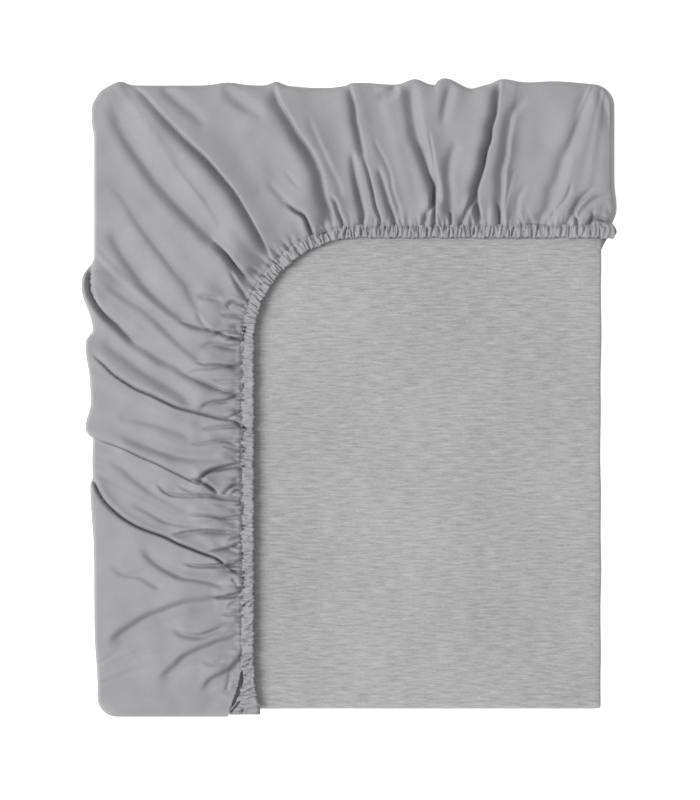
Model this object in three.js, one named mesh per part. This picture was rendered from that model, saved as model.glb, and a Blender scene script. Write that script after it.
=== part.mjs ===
// Elasticated mattress protector, folded to an eighth and lying flat with its hem side up.
// Millimetres. +Z up, +Y towards the gathered head side, origin at the middle of the underside.
import * as THREE from 'three';

// Panel cloth: one folded sheet, its fold edges to the right and in front
const panelThickness = 1.4;
const layerGap = 0.6;
const panelLeft = -197;
const panelRight = 201.2;
const panelFront = -249.2;
const panelBack = 243.5;
const foldedCornerRadius = 4;
const sewnCornerRadius = 20;
const foldSteps = 6;
const cornerSteps = 4;

// Skirt cloth: sewn to the panel's edge, rolled over it and gathered onto a hem
const skirtThickness = 1.2;
const skirtLeft = -204.4;
const skirtBack = 250.6;
const skirtRight = 212.8;
const skirtFront = -255.6;
const skirtCornerRadius = 17;
const rollHeight = 9;
const rollInset = 12;
const seamTurnInset = 4;
const seamFlap = 0.8;
const seamGap = 0.6;
const clearance = 0.35;
const crownRise = 5.2;
const crownReach = 46;

// Hem: a casing that runs up the left, round the corner and along the back
const hemLeft = -74.8;
const hemBack = 127.2;
const hemCornerRadius = 84.2;
const hemWidth = 11.8;
const hemEdgeRise = 1.8;
const hemCrown = 2.8;
const gatherHeight = 0.8;
const gatherReach = 26;
const hemFoldShare = 0.2;
const hemFoldFade = 34;
const edgeFoldFade = 16;

// Ridge beside a fold's trough: its share of the depth, and its place in half widths
const ridgeShare = 0.4;
const ridgePlace = 2.1;

// Bulges of the skirt's edge: where along its side, how far out, and half its width
const bulges = [
  { side: 'left', at: 88, out: 8.8, reach: 19 },
  { side: 'left', at: 37, out: 5.6, reach: 15 },
  { side: 'left', at: -19, out: 5, reach: 10 },
  { side: 'left', at: -77, out: 2.6, reach: 16 },
  { side: 'left', at: -232, out: -3.4, reach: 34 },
  { side: 'back', at: -101, out: 2, reach: 24 },
  { side: 'back', at: -60, out: 3.4, reach: 8 },
  { side: 'back', at: -26, out: -2, reach: 22 },
  { side: 'back', at: 53, out: 4.4, reach: 12 },
  { side: 'back', at: 77, out: 4.8, reach: 9 },
  { side: 'back', at: 98, out: -3.6, reach: 9 },
  { side: 'back', at: 122, out: 3.8, reach: 9 },
  { side: 'back', at: 152, out: 3, reach: 20 },
  { side: 'right', at: 153, out: 1.8, reach: 12 },
  { side: 'right', at: 139, out: -2.2, reach: 6 },
];

// Folds of the skirt: from the edge by way of the middle to the hem, half width, and depth
const folds = [
  { edge: [-180, 249], middle: [-124, 197], hem: [-63, 110], width: 7.5, depth: 4.4 },
  { edge: [-194, 238], middle: [-154, 166], hem: [-85, 86], width: 9, depth: 3.6 },
  { edge: [-189, 120], middle: [-146, 66], hem: [-88, 46], width: 7.5, depth: 2.6 },
  { edge: [-187, 167], middle: [-145, 104], hem: [-110, 57], width: 8.5, depth: 2.4 },
  { edge: [-198, 88], middle: [-159, 58], hem: [-90, 25], width: 7.5, depth: 3 },
  { edge: [-206, 102], middle: [-166, 42], hem: [-96, 4], width: 8, depth: 4.4 },
  { edge: [-203, 34], middle: [-163, 1], hem: [-90, -20], width: 8, depth: 4.2 },
  { edge: [-191, -29], middle: [-149, -45], hem: [-96, -46], width: 9, depth: 3 },
  { edge: [-199, -33], middle: [-159, -50], hem: [-106, -77], width: 7.5, depth: 3 },
  { edge: [-192, -55], middle: [-156, -81], hem: [-130, -99], width: 9, depth: 2.4 },
  { edge: [-151, -69], middle: [-125, -79], hem: [-96, -81], width: 7.5, depth: 3 },
  { edge: [-202, -70], middle: [-162, -106], hem: [-103, -131], width: 8.5, depth: 4.6 },
  { edge: [-138, -114], middle: [-112, -106], hem: [-89, -107], width: 7.5, depth: 2.6 },
  { edge: [-166, -121], middle: [-143, -141], hem: [-100, -150], width: 8.5, depth: 2.4 },
  { edge: [-193, -195], middle: [-154, -168], hem: [-83, -154], width: 8.5, depth: 4.4 },
  { edge: [-154, -218], middle: [-129, -204], hem: [-86, -190], width: 7.5, depth: 3 },
  { edge: [-119, -234], middle: [-98, -214], hem: [-86, -204], width: 7.5, depth: 3 },
  { edge: [-109, 246], middle: [-85, 231], hem: [-74, 223], width: 9, depth: 2 },
  { edge: [-61, 251], middle: [-39, 192], hem: [-17, 138], width: 8, depth: 4.4 },
  { edge: [-1, 250], middle: [8, 202], hem: [24, 140], width: 8, depth: 3.8 },
  { edge: [20, 205], middle: [28, 185], hem: [38, 139], width: 7.5, depth: 2.6 },
  { edge: [42, 240], middle: [54, 197], hem: [66, 160], width: 8, depth: 4.4 },
  { edge: [86, 203], middle: [79, 190], hem: [77, 171], width: 8.5, depth: 2 },
  { edge: [120, 254], middle: [109, 202], hem: [90, 139], width: 8.5, depth: 5 },
  { edge: [135, 230], middle: [122, 178], hem: [120, 138], width: 7.5, depth: 3.4 },
  { edge: [190, 243], middle: [162, 182], hem: [144, 139], width: 10, depth: 3 },
  { edge: [196, 171], middle: [184, 160], hem: [169, 138], width: 8.5, depth: 2.6 },
  { edge: [213, 154], middle: [204, 153], hem: [182, 140], width: 6.5, depth: 3 },
];

// Lengths of skirt between two ribs, and the columns of faces across each
const spans = [
  { edgeTo: 381, hemTo: 298, columns: 44 },
  { edgeTo: 672, hemTo: 430, columns: 32 },
  { edgeTo: 908, hemTo: 631, columns: 32 },
];
const endShares = [0.14, 0.46];
const edgeRows = [0, 1.2, 4, 9];
const middleRows = 7;
const turnSteps = 3;
const hemRows = [hemWidth, hemWidth * 0.55, hemWidth * 0.12, 0];

const stackHeight = 8 * panelThickness + 7 * layerGap;

function smooth(from, to, value) {
  return THREE.MathUtils.smoothstep(value, from, to);
}

// Builds a closed solid from points and faces of three or four corners
function solidFrom(points, faces) {
  const triangles = faces.flatMap((f) => (f.length === 3 ? [f] : [[f[0], f[1], f[2]], [f[0], f[2], f[3]]]));
  const geometry = new THREE.BufferGeometry();
  const places = points.flatMap((point) => point.toArray());
  geometry.setAttribute('position', new THREE.Float32BufferAttribute(places, 3));
  geometry.setIndex(triangles.flat());
  geometry.computeVertexNormals();
  return geometry;
}

// Panel: its width is folded in half, its length in half and in half again.
// The doubled width is a hairpin section, swept along the folded length.

// Outline of the hairpin across the width, x by height in the doubled cloth
function widthSection() {
  const outer = panelThickness + layerGap / 2;
  const inner = layerGap / 2;
  const section = [];
  const bend = (radius, fromAngle, toAngle) => {
    for (let k = 0; k <= foldSteps; k += 1) {
      const angle = THREE.MathUtils.lerp(fromAngle, toAngle, k / foldSteps);
      const x = panelRight - outer + radius * Math.cos(angle);
      section.push({ x, h: radius * Math.sin(angle), sewn: false });
    }
  };
  section.push({ x: panelLeft, h: -outer, sewn: true });
  bend(outer, -Math.PI / 2, Math.PI / 2);
  section.push({ x: panelLeft, h: outer, sewn: true });
  section.push({ x: panelLeft, h: inner, sewn: true });
  bend(inner, Math.PI / 2, -Math.PI / 2);
  section.push({ x: panelLeft, h: -inner, sewn: true });
  return section;
}

// Folded length: arms at four levels joined by bends, each arm's folds a little inside the top one's
const armInsets = [1, 2.2, 1.4, 0];
const armBacks = [0, 0, 1.5, 0.6];

function lengthPath() {
  const reach = panelThickness + layerGap / 2;
  const pitch = 2 * reach + layerGap;
  const level = (n) => reach + n * pitch;
  const outerRadius = 1.5 * pitch;
  const innerRadius = pitch / 2;
  const frontBend = panelFront + outerRadius + reach;
  const backBend = panelBack - innerRadius - reach;
  const path = [];
  const straight = (arm, from, to, side) => {
    for (let k = 0; k <= cornerSteps; k += 1) {
      const y = THREE.MathUtils.lerp(from, to, k / cornerSteps);
      path.push({ y, z: level(arm), ny: 0, nz: side, inset: armInsets[arm] });
    }
  };
  const bend = (y, fromArm, toArm, turn) => {
    const radius = Math.abs(level(toArm) - level(fromArm)) / 2;
    const middle = (level(fromArm) + level(toArm)) / 2;
    const start = Math.sign(level(fromArm) - middle) * Math.PI / 2;
    const steps = radius === outerRadius ? 2 * foldSteps : foldSteps;
    for (let k = 1; k < steps; k += 1) {
      const angle = start + turn * Math.PI * (k / steps);
      const inset = THREE.MathUtils.lerp(armInsets[fromArm], armInsets[toArm], k / steps);
      const ny = turn * Math.cos(angle);
      const nz = turn * Math.sin(angle);
      path.push({ y: y + radius * Math.cos(angle), z: middle + radius * Math.sin(angle), ny, nz, inset });
    }
  };
  const corner = sewnCornerRadius;
  straight(3, panelBack - armBacks[3], panelBack - corner, 1);
  straight(3, panelFront + corner, frontBend, 1);
  bend(frontBend, 3, 0, 1);
  straight(0, frontBend, panelFront + corner, -1);
  straight(0, panelBack - corner, backBend, -1);
  bend(backBend, 0, 1, 1);
  straight(1, backBend, panelBack - corner, 1);
  straight(1, panelFront + corner, frontBend, 1);
  bend(frontBend, 1, 2, -1);
  straight(2, frontBend, panelFront + corner, -1);
  straight(2, panelBack - corner, panelBack - armBacks[2], -1);
  return path;
}

// How far a round corner takes a side in, at a distance from the corner's end
function cornerInset(radius, distance) {
  const short = THREE.MathUtils.clamp(radius - distance, 0, radius);
  return radius - Math.sqrt(radius ** 2 - short ** 2);
}

function panelGeometry() {
  const section = widthSection();
  const path = lengthPath();
  const points = [];
  for (const step of path) {
    for (const corner of section) {
      const y = step.y + corner.h * step.ny;
      const sewnInset = cornerInset(sewnCornerRadius, Math.min(y - panelFront, panelBack - y));
      const foldedInset = step.inset + cornerInset(foldedCornerRadius, y - panelFront);
      const x = corner.sewn ? corner.x + sewnInset : corner.x - foldedInset;
      points.push(new THREE.Vector3(x, y, step.z + corner.h * step.nz));
    }
  }
  const around = section.length;
  const faces = [];
  for (let k = 0; k + 1 < path.length; k += 1) {
    for (let c = 0; c < around; c += 1) {
      const next = (c + 1) % around;
      faces.push([k * around + c, k * around + next, (k + 1) * around + next, (k + 1) * around + c]);
    }
  }
  const outline = section.map((corner) => new THREE.Vector2(corner.x, corner.h));
  const last = (path.length - 1) * around;
  for (const [a, b, c] of THREE.ShapeUtils.triangulateShape(outline, [])) {
    faces.push([c, b, a], [last + a, last + b, last + c]);
  }
  return solidFrom(points, faces);
}

// Skirt: ribs run from its edge to the hem, and its edge rolls down to the floor

// Distance that the named side bulges out at a place along it
function bulgeOf(side, at) {
  return bulges
    .filter((bulge) => bulge.side === side)
    .reduce((sum, bulge) => sum + bulge.out * Math.exp(-(((at - bulge.at) / bulge.reach) ** 2)), 0);
}

// Distance inside the skirt's edge, with round corners where two sides meet
function insetAt(x, y) {
  const left = x - skirtLeft + bulgeOf('left', y);
  const back = skirtBack + bulgeOf('back', x) - y;
  const right = skirtRight + bulgeOf('right', y) - x;
  const front = y - skirtFront;
  const corner = (a, b) => {
    const da = Math.max(0, skirtCornerRadius - a);
    const db = Math.max(0, skirtCornerRadius - b);
    return da > 0 && db > 0 ? skirtCornerRadius - Math.hypot(da, db) : Math.min(a, b);
  };
  return Math.min(corner(left, back), corner(right, back), corner(left, front));
}

function outwardAt(x, y) {
  const step = 0.5;
  const slope = new THREE.Vector2(
    insetAt(x - step, y) - insetAt(x + step, y),
    insetAt(x, y - step) - insetAt(x, y + step),
  );
  return slope.normalize();
}

// Distance outside the panel's outline, with its round corners
function panelDistance(x, y) {
  const middleX = (panelLeft + panelRight) / 2;
  const middleY = (panelFront + panelBack) / 2;
  const radius = x < middleX ? sewnCornerRadius : foldedCornerRadius;
  const dx = Math.abs(x - middleX) - (panelRight - panelLeft) / 2 + radius;
  const dy = Math.abs(y - middleY) - (panelBack - panelFront) / 2 + radius;
  return Math.hypot(Math.max(dx, 0), Math.max(dy, 0)) - radius + Math.min(0, Math.max(dx, dy));
}

// Hem's inner edge as a path: up the left, round the corner and along the back
function hemPath() {
  const path = new THREE.CurvePath();
  const centre = new THREE.Vector2(hemLeft + hemCornerRadius, hemBack - hemCornerRadius);
  const arc = new THREE.EllipseCurve(centre.x, centre.y, hemCornerRadius, hemCornerRadius,
    Math.PI, Math.PI / 2, true);
  const line = (x1, y1, x2, y2) => new THREE.LineCurve(new THREE.Vector2(x1, y1), new THREE.Vector2(x2, y2));
  path.add(line(hemLeft, skirtFront, hemLeft, centre.y));
  path.add(arc);
  path.add(line(centre.x, hemBack, skirtRight, hemBack));
  return path;
}

// Skirt's edge as a path: half of the front corner, the left side, the back and half a corner
function edgePath() {
  const r = skirtCornerRadius;
  const arc = (x, y, from, to) => new THREE.EllipseCurve(x, y, r, r, from, to, true);
  const path = new THREE.CurvePath();
  path.add(arc(skirtLeft + r, skirtFront + r, 1.25 * Math.PI, Math.PI));
  path.add(new THREE.LineCurve(
    new THREE.Vector2(skirtLeft, skirtFront + r), new THREE.Vector2(skirtLeft, skirtBack - r)));
  path.add(arc(skirtLeft + r, skirtBack - r, Math.PI, Math.PI / 2));
  path.add(new THREE.LineCurve(
    new THREE.Vector2(skirtLeft + r, skirtBack), new THREE.Vector2(skirtRight - r, skirtBack)));
  path.add(arc(skirtRight - r, skirtBack - r, Math.PI / 2, Math.PI / 4));
  return path;
}

// Distance from the hem's inner edge, measured towards the skirt's edge
function hemDistance(x, y) {
  const centreX = hemLeft + hemCornerRadius;
  const centreY = hemBack - hemCornerRadius;
  if (x > centreX) return y - hemBack;
  if (y < centreY) return hemLeft - x;
  return Math.hypot(x - centreX, y - centreY) - hemCornerRadius;
}

// Fold lines as smooth curves, each cut into a few straight steps
const foldLines = folds.map((fold) => {
  const [edge, middle, hem] = [fold.edge, fold.middle, fold.hem].map(([x, y]) => new THREE.Vector2(x, y));
  const line = new THREE.SplineCurve([edge, middle, hem]).getPoints(8);
  return { line, width: fold.width, depth: fold.depth };
});

// Trough of a fold with a low ridge on both sides, fading out past its two ends
function foldRelief(x, y) {
  const place = new THREE.Vector2(x, y);
  let relief = 0;
  for (const { line, width, depth } of foldLines) {
    let nearest = Infinity;
    for (let k = 0; k + 1 < line.length; k += 1) {
      const step = line[k + 1].clone().sub(line[k]);
      const share = THREE.MathUtils.clamp(place.clone().sub(line[k]).dot(step) / step.lengthSq(), 0, 1);
      nearest = Math.min(nearest, place.distanceTo(line[k].clone().addScaledVector(step, share)));
    }
    const across = nearest / width;
    relief -= depth * Math.exp(-(across ** 2));
    relief += ridgeShare * depth * Math.exp(-((across - ridgePlace) ** 2));
  }
  return relief;
}

// Height of the skirt's upper face, and of the cloth or casing under it
function skirtHeight(x, y, column) {
  const fromStitch = hemDistance(x, y) - hemWidth;
  const base = stackHeight + clearance + hemEdgeRise;
  const gather = (column % 2) * gatherHeight * (1 - smooth(0, gatherReach, fromStitch));
  if (fromStitch <= 0) {
    const arch = Math.sin(Math.PI * THREE.MathUtils.clamp(-fromStitch / hemWidth, 0, 1));
    const height = base + arch * (hemCrown + gather);
    return { height, thickness: height - stackHeight - clearance };
  }
  const crown = crownRise * smooth(0, crownReach, fromStitch);
  const fade = THREE.MathUtils.lerp(hemFoldShare, 1, smooth(0, hemFoldFade, fromStitch));
  const relief = foldRelief(x, y) * fade * smooth(0, edgeFoldFade, insetAt(x, y));
  const lowest = stackHeight + clearance + skirtThickness;
  const height = Math.max(base + crown + gather + relief, lowest);
  const thickness = THREE.MathUtils.lerp(hemEdgeRise, skirtThickness, smooth(0, hemWidth, fromStitch));
  return { height, thickness };
}

// One point of the skirt: its outer face, and the inner face a cloth's thickness inside
function skirtPoint(x, y, inset, outward, column) {
  const lean = 1 - Math.min(1, inset / rollInset);
  const rise = Math.sqrt(1 - lean ** 2);
  const { height, thickness } = skirtHeight(x, y, column);
  const normal = new THREE.Vector3(outward.x * lean, outward.y * lean, rise);
  const outer = new THREE.Vector3(x, y, rollHeight + (height - rollHeight) * rise);
  const depth = THREE.MathUtils.lerp(thickness, skirtThickness, lean);
  return { outer, inner: outer.clone().addScaledVector(normal, -depth) };
}

// Places of the ribs along the skirt's edge and the hem, closer where each end rolls over
function ribStations() {
  const between = (a, b, share) => ({
    edge: THREE.MathUtils.lerp(a.edge, b.edge, share),
    hem: THREE.MathUtils.lerp(a.hem, b.hem, share),
  });
  const stations = [{ edge: 0, hem: 0 }];
  for (const span of spans) {
    const start = stations[stations.length - 1];
    const end = { edge: span.edgeTo, hem: span.hemTo };
    for (let k = 1; k <= span.columns; k += 1) stations.push(between(start, end, k / span.columns));
  }
  const [first, second] = stations;
  const [beforeLast, last] = stations.slice(-2);
  const frontRibs = endShares.map((share) => between(first, second, share));
  const rightRibs = endShares.map((share) => between(last, beforeLast, share)).reverse();
  return [first, ...frontRibs, ...stations.slice(1, -1), ...rightRibs, last];
}

function pointAlong(path, distance) {
  const share = THREE.MathUtils.clamp(distance / path.getLength(), 0, 1);
  return path.getPointAt(share);
}

function skirtGeometry() {
  const edge = edgePath();
  const hem = hemPath();
  const stations = ribStations();
  const edgeLength = edge.getLength();
  const hemLength = hem.getLength();
  const lastStation = stations[stations.length - 1];
  const columns = [];
  stations.forEach((station, column) => {
    const outside = pointAlong(edge, station.edge * edgeLength / lastStation.edge);
    const inside = pointAlong(hem, station.hem * hemLength / lastStation.hem);
    const direction = outwardAt(outside.x, outside.y);
    outside.addScaledVector(direction, insetAt(outside.x, outside.y));
    const ribLength = outside.distanceTo(inside);
    const middleStart = edgeRows[edgeRows.length - 1];
    const middleEnd = ribLength - hemRows[0];
    const distances = [...edgeRows];
    for (let k = 1; k < middleRows; k += 1) {
      distances.push(THREE.MathUtils.lerp(middleStart, middleEnd, k / middleRows));
    }
    hemRows.forEach((row) => distances.push(ribLength - row));
    const atEnd = column === 0 || column === stations.length - 1;
    columns.push(distances.map((distance, row) => {
      const place = outside.clone().lerp(inside, distance / ribLength);
      const onEdge = atEnd || row === 0;
      const outward = row === 0 ? direction : outwardAt(place.x, place.y);
      if (atEnd) place.addScaledVector(outward, insetAt(place.x, place.y));
      const inset = onEdge ? 0 : Math.max(0, insetAt(place.x, place.y));
      return { ...skirtPoint(place.x, place.y, inset, outward, column), outward };
    }));
  });
  const rows = columns[0].length;
  const nodes = columns.flat();
  const faces = [];
  for (let i = 0; i + 1 < columns.length; i += 1) {
    for (let j = 0; j + 1 < rows; j += 1) {
      faces.push([i * rows + j, i * rows + j + 1, (i + 1) * rows + j + 1, (i + 1) * rows + j]);
    }
  }
  // The rolled edge: the front end from the hem, the long side, and the right end to the hem
  const rim = [];
  for (let j = rows - 1; j > 0; j -= 1) rim.push(j);
  for (let i = 0; i < columns.length; i += 1) rim.push(i * rows);
  for (let j = 1; j < rows; j += 1) rim.push((columns.length - 1) * rows + j);
  let previous = rim;
  for (let k = 1; k <= turnSteps + 1; k += 1) {
    const angle = (Math.PI / 2) * Math.min(1, k / turnSteps);
    const row = rim.map((index) => {
      const { outer, outward } = nodes[index];
      const room = panelDistance(outer.x, outer.y) - seamGap;
      const turn = Math.min(seamTurnInset, room - seamFlap);
      const inset = k > turnSteps ? room : turn * (1 - Math.cos(angle));
      const z = rollHeight * (1 - Math.sin(angle));
      const place = new THREE.Vector3(outer.x - outward.x * inset, outer.y - outward.y * inset, z);
      const lean = Math.cos(angle);
      const normal = new THREE.Vector3(outward.x * lean, outward.y * lean, -Math.sin(angle));
      nodes.push({ outer: place, inner: place.clone().addScaledVector(normal, -skirtThickness), outward });
      return nodes.length - 1;
    });
    for (let k = 0; k + 1 < row.length; k += 1) {
      faces.push([previous[k], previous[k + 1], row[k + 1], row[k]]);
    }
    previous = row;
  }
  return thickened(nodes, faces);
}

// Closes a sheet of nodes with an outer and an inner point each into a solid
function thickened(nodes, faces) {
  const count = nodes.length;
  const points = [...nodes.map((node) => node.outer), ...nodes.map((node) => node.inner)];
  const used = new Set(faces.flatMap((f) => f.map((a, k) => `${a} ${f[(k + 1) % f.length]}`)));
  const all = [...faces, ...faces.map((f) => f.map((a) => a + count).reverse())];
  for (const face of faces) {
    face.forEach((a, k) => {
      const b = face[(k + 1) % face.length];
      if (!used.has(`${b} ${a}`)) all.push([b, a, a + count, b + count]);
    });
  }
  return solidFrom(points, all);
}

const panelCloth = new THREE.MeshStandardMaterial({ color: 0xb0b0b1, roughness: 0.95, metalness: 0 });
const skirtCloth = new THREE.MeshStandardMaterial({ color: 0x9c9b9e, roughness: 0.8, metalness: 0 });

const protector = new THREE.Group();
const pieces = [
  { name: 'panel', geometry: panelGeometry(), material: panelCloth },
  { name: 'skirt', geometry: skirtGeometry(), material: skirtCloth },
];
for (const { name, geometry, material } of pieces) {
  const mesh = new THREE.Mesh(geometry, material);
  mesh.name = name;
  protector.add(mesh);
}

export default protector;
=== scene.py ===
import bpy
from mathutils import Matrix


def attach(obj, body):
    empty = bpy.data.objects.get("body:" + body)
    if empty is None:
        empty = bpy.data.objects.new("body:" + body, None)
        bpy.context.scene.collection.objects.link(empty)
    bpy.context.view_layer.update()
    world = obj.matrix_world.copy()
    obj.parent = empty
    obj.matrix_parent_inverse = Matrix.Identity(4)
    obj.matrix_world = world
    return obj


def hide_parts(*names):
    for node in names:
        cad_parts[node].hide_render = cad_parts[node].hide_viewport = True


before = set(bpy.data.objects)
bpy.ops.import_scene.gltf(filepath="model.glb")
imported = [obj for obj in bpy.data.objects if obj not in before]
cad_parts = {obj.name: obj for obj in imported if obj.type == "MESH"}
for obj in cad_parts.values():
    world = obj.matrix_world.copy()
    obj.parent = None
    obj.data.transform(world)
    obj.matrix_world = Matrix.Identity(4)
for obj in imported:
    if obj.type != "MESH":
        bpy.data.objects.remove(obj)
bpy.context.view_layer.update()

"""Elasticated mattress protector, folded flat with its gathered hem side up.

Sizes are in millimetres in the frame of the part, with +Z up and +Y towards the gathered
back side, and become metres where a mesh is made.
"""

import logging
import math
from dataclasses import dataclass
from enum import Enum

import bmesh
import bpy
import numpy as np
from mathutils import Vector

LOG = logging.getLogger("mattress_protector")
MM = 0.001
CRISP = 1.9
RIDGE = 0.42
RIDGE_PER_DEPTH, WIDEST_RIDGE, RIDGE_PER_LENGTH = 2.2, 16.0, 0.28
SOFT_REACH, PRESS_REACH = 3.0, 2.3


class Side(Enum):
    """A side of the folded skirt that shows its rolled edge."""

    LEFT = "left"
    BACK = "back"
    RIGHT = "right"


@dataclass(frozen=True)
class Lobe:
    """A place where the skirt's edge bulges out, or in where out is negative.

    at is measured along the side, and before and after are its half widths towards lower
    and higher values. A sharp half ends abruptly.
    """

    side: Side
    at: float
    out: float
    before: float
    after: float
    sharp_before: bool = False
    sharp_after: bool = False

    def outward(self, place: np.ndarray) -> np.ndarray:
        """Gives how far the lobe stands out.

        Args:
            place: Places along the side.

        Returns:
            The distance out at each place.
        """
        offset = place - self.at
        low, high = np.abs(offset) / self.before, np.abs(offset) / self.after
        soft = np.where(offset < 0, low**2, high**2)
        sharp = np.where(offset < 0, low**4, high**4)
        abrupt = np.where(offset < 0, self.sharp_before, self.sharp_after)
        return self.out * np.exp(-np.where(abrupt, sharp, soft))


LOBES = (
    Lobe(Side.LEFT, 227, 2.0, 13, 11, sharp_before=True, sharp_after=True),
    Lobe(Side.LEFT, 88, 10.0, 21, 17.5, sharp_after=True),
    Lobe(Side.LEFT, 40, 6.8, 25, 11, sharp_after=True),
    Lobe(Side.LEFT, 6, 1.8, 14, 12),
    Lobe(Side.LEFT, -22, 6.6, 8.6, 14, sharp_before=True),
    Lobe(Side.LEFT, -48, 1.5, 20, 16, sharp_before=True),
    Lobe(Side.LEFT, -74, 3.0, 32, 8, sharp_after=True),
    Lobe(Side.LEFT, -232, -2.6, 34, 30),
    Lobe(Side.BACK, -183, 3.2, 7, 6),
    Lobe(Side.BACK, -97, 2.4, 12, 12),
    Lobe(Side.BACK, -58, 3.2, 6, 6),
    Lobe(Side.BACK, -25, -2.0, 20, 19, sharp_after=True),
    Lobe(Side.BACK, 4, 1.8, 5, 14, sharp_before=True),
    Lobe(Side.BACK, 20, 1.2, 14, 16),
    Lobe(Side.BACK, 53, 5.2, 10, 9),
    Lobe(Side.BACK, 77, 5.8, 6, 11, sharp_before=True),
    Lobe(Side.BACK, 98, -2.6, 8, 7),
    Lobe(Side.BACK, 123, 4.8, 9, 14),
    Lobe(Side.BACK, 164, 3.4, 28, 30),
    Lobe(Side.RIGHT, 153, 1.8, 12, 12),
    Lobe(Side.RIGHT, 139, -2.2, 6, 6),
)


@dataclass(frozen=True)
class Stack:
    """Sizes of the folded panel that the skirt is rolled over."""

    thickness: float = 1.4
    gap: float = 0.6
    left: float = -197.0
    right: float = 201.9
    front: float = -249.2
    back: float = 243.5
    folded_radius: float = 4.0
    sewn_radius: float = 20.0
    layers: int = 8

    @property
    def height(self) -> float:
        """Height of the top of the stack."""
        return self.layers * self.thickness + (self.layers - 1) * self.gap

    def distance(self, x: np.ndarray, y: np.ndarray) -> np.ndarray:
        """Measures how far places are outside the stack's outline.

        Args:
            x: Places across.
            y: Places along.

        Returns:
            Distances, negative inside.
        """
        middle_x, middle_y = (self.left + self.right) / 2, (self.front + self.back) / 2
        radius = np.where(x < middle_x, self.sewn_radius, self.folded_radius)
        dx = np.abs(x - middle_x) - (self.right - self.left) / 2 + radius
        dy = np.abs(y - middle_y) - (self.back - self.front) / 2 + radius
        outside = np.hypot(np.maximum(dx, 0), np.maximum(dy, 0)) - radius
        return outside + np.minimum(0, np.maximum(dx, dy))


@dataclass(frozen=True)
class SkirtOutline:
    """Outline of the skirt seen from above: a rounded rectangle with lobes."""

    left: float = -204.4
    back: float = 250.6
    right: float = 212.8
    front: float = -255.6
    radius: float = 17.0
    lobes: tuple[Lobe, ...] = LOBES

    def bulge(self, side: Side, place: np.ndarray) -> np.ndarray:
        """Adds up the lobes of one side.

        Args:
            side: The side.
            place: Places along it.

        Returns:
            How far the edge stands out at each place.
        """
        return sum(lobe.outward(place) for lobe in self.lobes if lobe.side is side)

    def inset(self, x: np.ndarray, y: np.ndarray) -> np.ndarray:
        """Measures how far places are inside the outline.

        Args:
            x: Places across.
            y: Places along.

        Returns:
            Distances, negative outside.
        """
        left = x - self.left + self.bulge(Side.LEFT, y)
        back = self.back + self.bulge(Side.BACK, x) - y
        right = self.right + self.bulge(Side.RIGHT, y) - x
        front = y - self.front

        def corner(a: np.ndarray, b: np.ndarray) -> np.ndarray:
            """Rounds the corner between two sides."""
            da, db = np.maximum(0, self.radius - a), np.maximum(0, self.radius - b)
            both = (da > 0) & (db > 0)
            return np.where(both, self.radius - np.hypot(da, db), np.minimum(a, b))

        return np.minimum(np.minimum(corner(left, back), corner(right, back)), corner(left, front))

    def outward(self, x: np.ndarray, y: np.ndarray) -> tuple[np.ndarray, np.ndarray]:
        """Gives the direction out of the outline.

        Args:
            x: Places across.
            y: Places along.

        Returns:
            The two parts of the unit direction.
        """
        step = 0.5
        dx = self.inset(x - step, y) - self.inset(x + step, y)
        dy = self.inset(x, y - step) - self.inset(x, y + step)
        length = np.maximum(np.hypot(dx, dy), 1e-9)
        return dx / length, dy / length

    def edge(self, count: int = 6000) -> np.ndarray:
        """Walks the outline from the front left corner to the back right one.

        Args:
            count: Number of points.

        Returns:
            The points, one row each.
        """
        r = self.radius
        turn = np.linspace(0, 1, 200)[:, None] * math.pi / 2

        def arc(x: float, y: float, start: float, share: float) -> np.ndarray:
            """Makes a clockwise quarter circle, or a share of one."""
            angle = start - turn * share
            return np.hstack([x + r * np.cos(angle), y + r * np.sin(angle)])

        rough = np.vstack([
            arc(self.left + r, self.front + r, 1.25 * math.pi, 0.5),
            arc(self.left + r, self.back - r, math.pi, 1.0),
            arc(self.right - r, self.back - r, math.pi / 2, 0.5),
        ])
        points = evenly(rough, count)
        for _ in range(3):
            out_x, out_y = self.outward(points[:, 0], points[:, 1])
            inset = self.inset(points[:, 0], points[:, 1])
            points = points + np.stack([out_x * inset, out_y * inset], axis=1)
        return points


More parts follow.
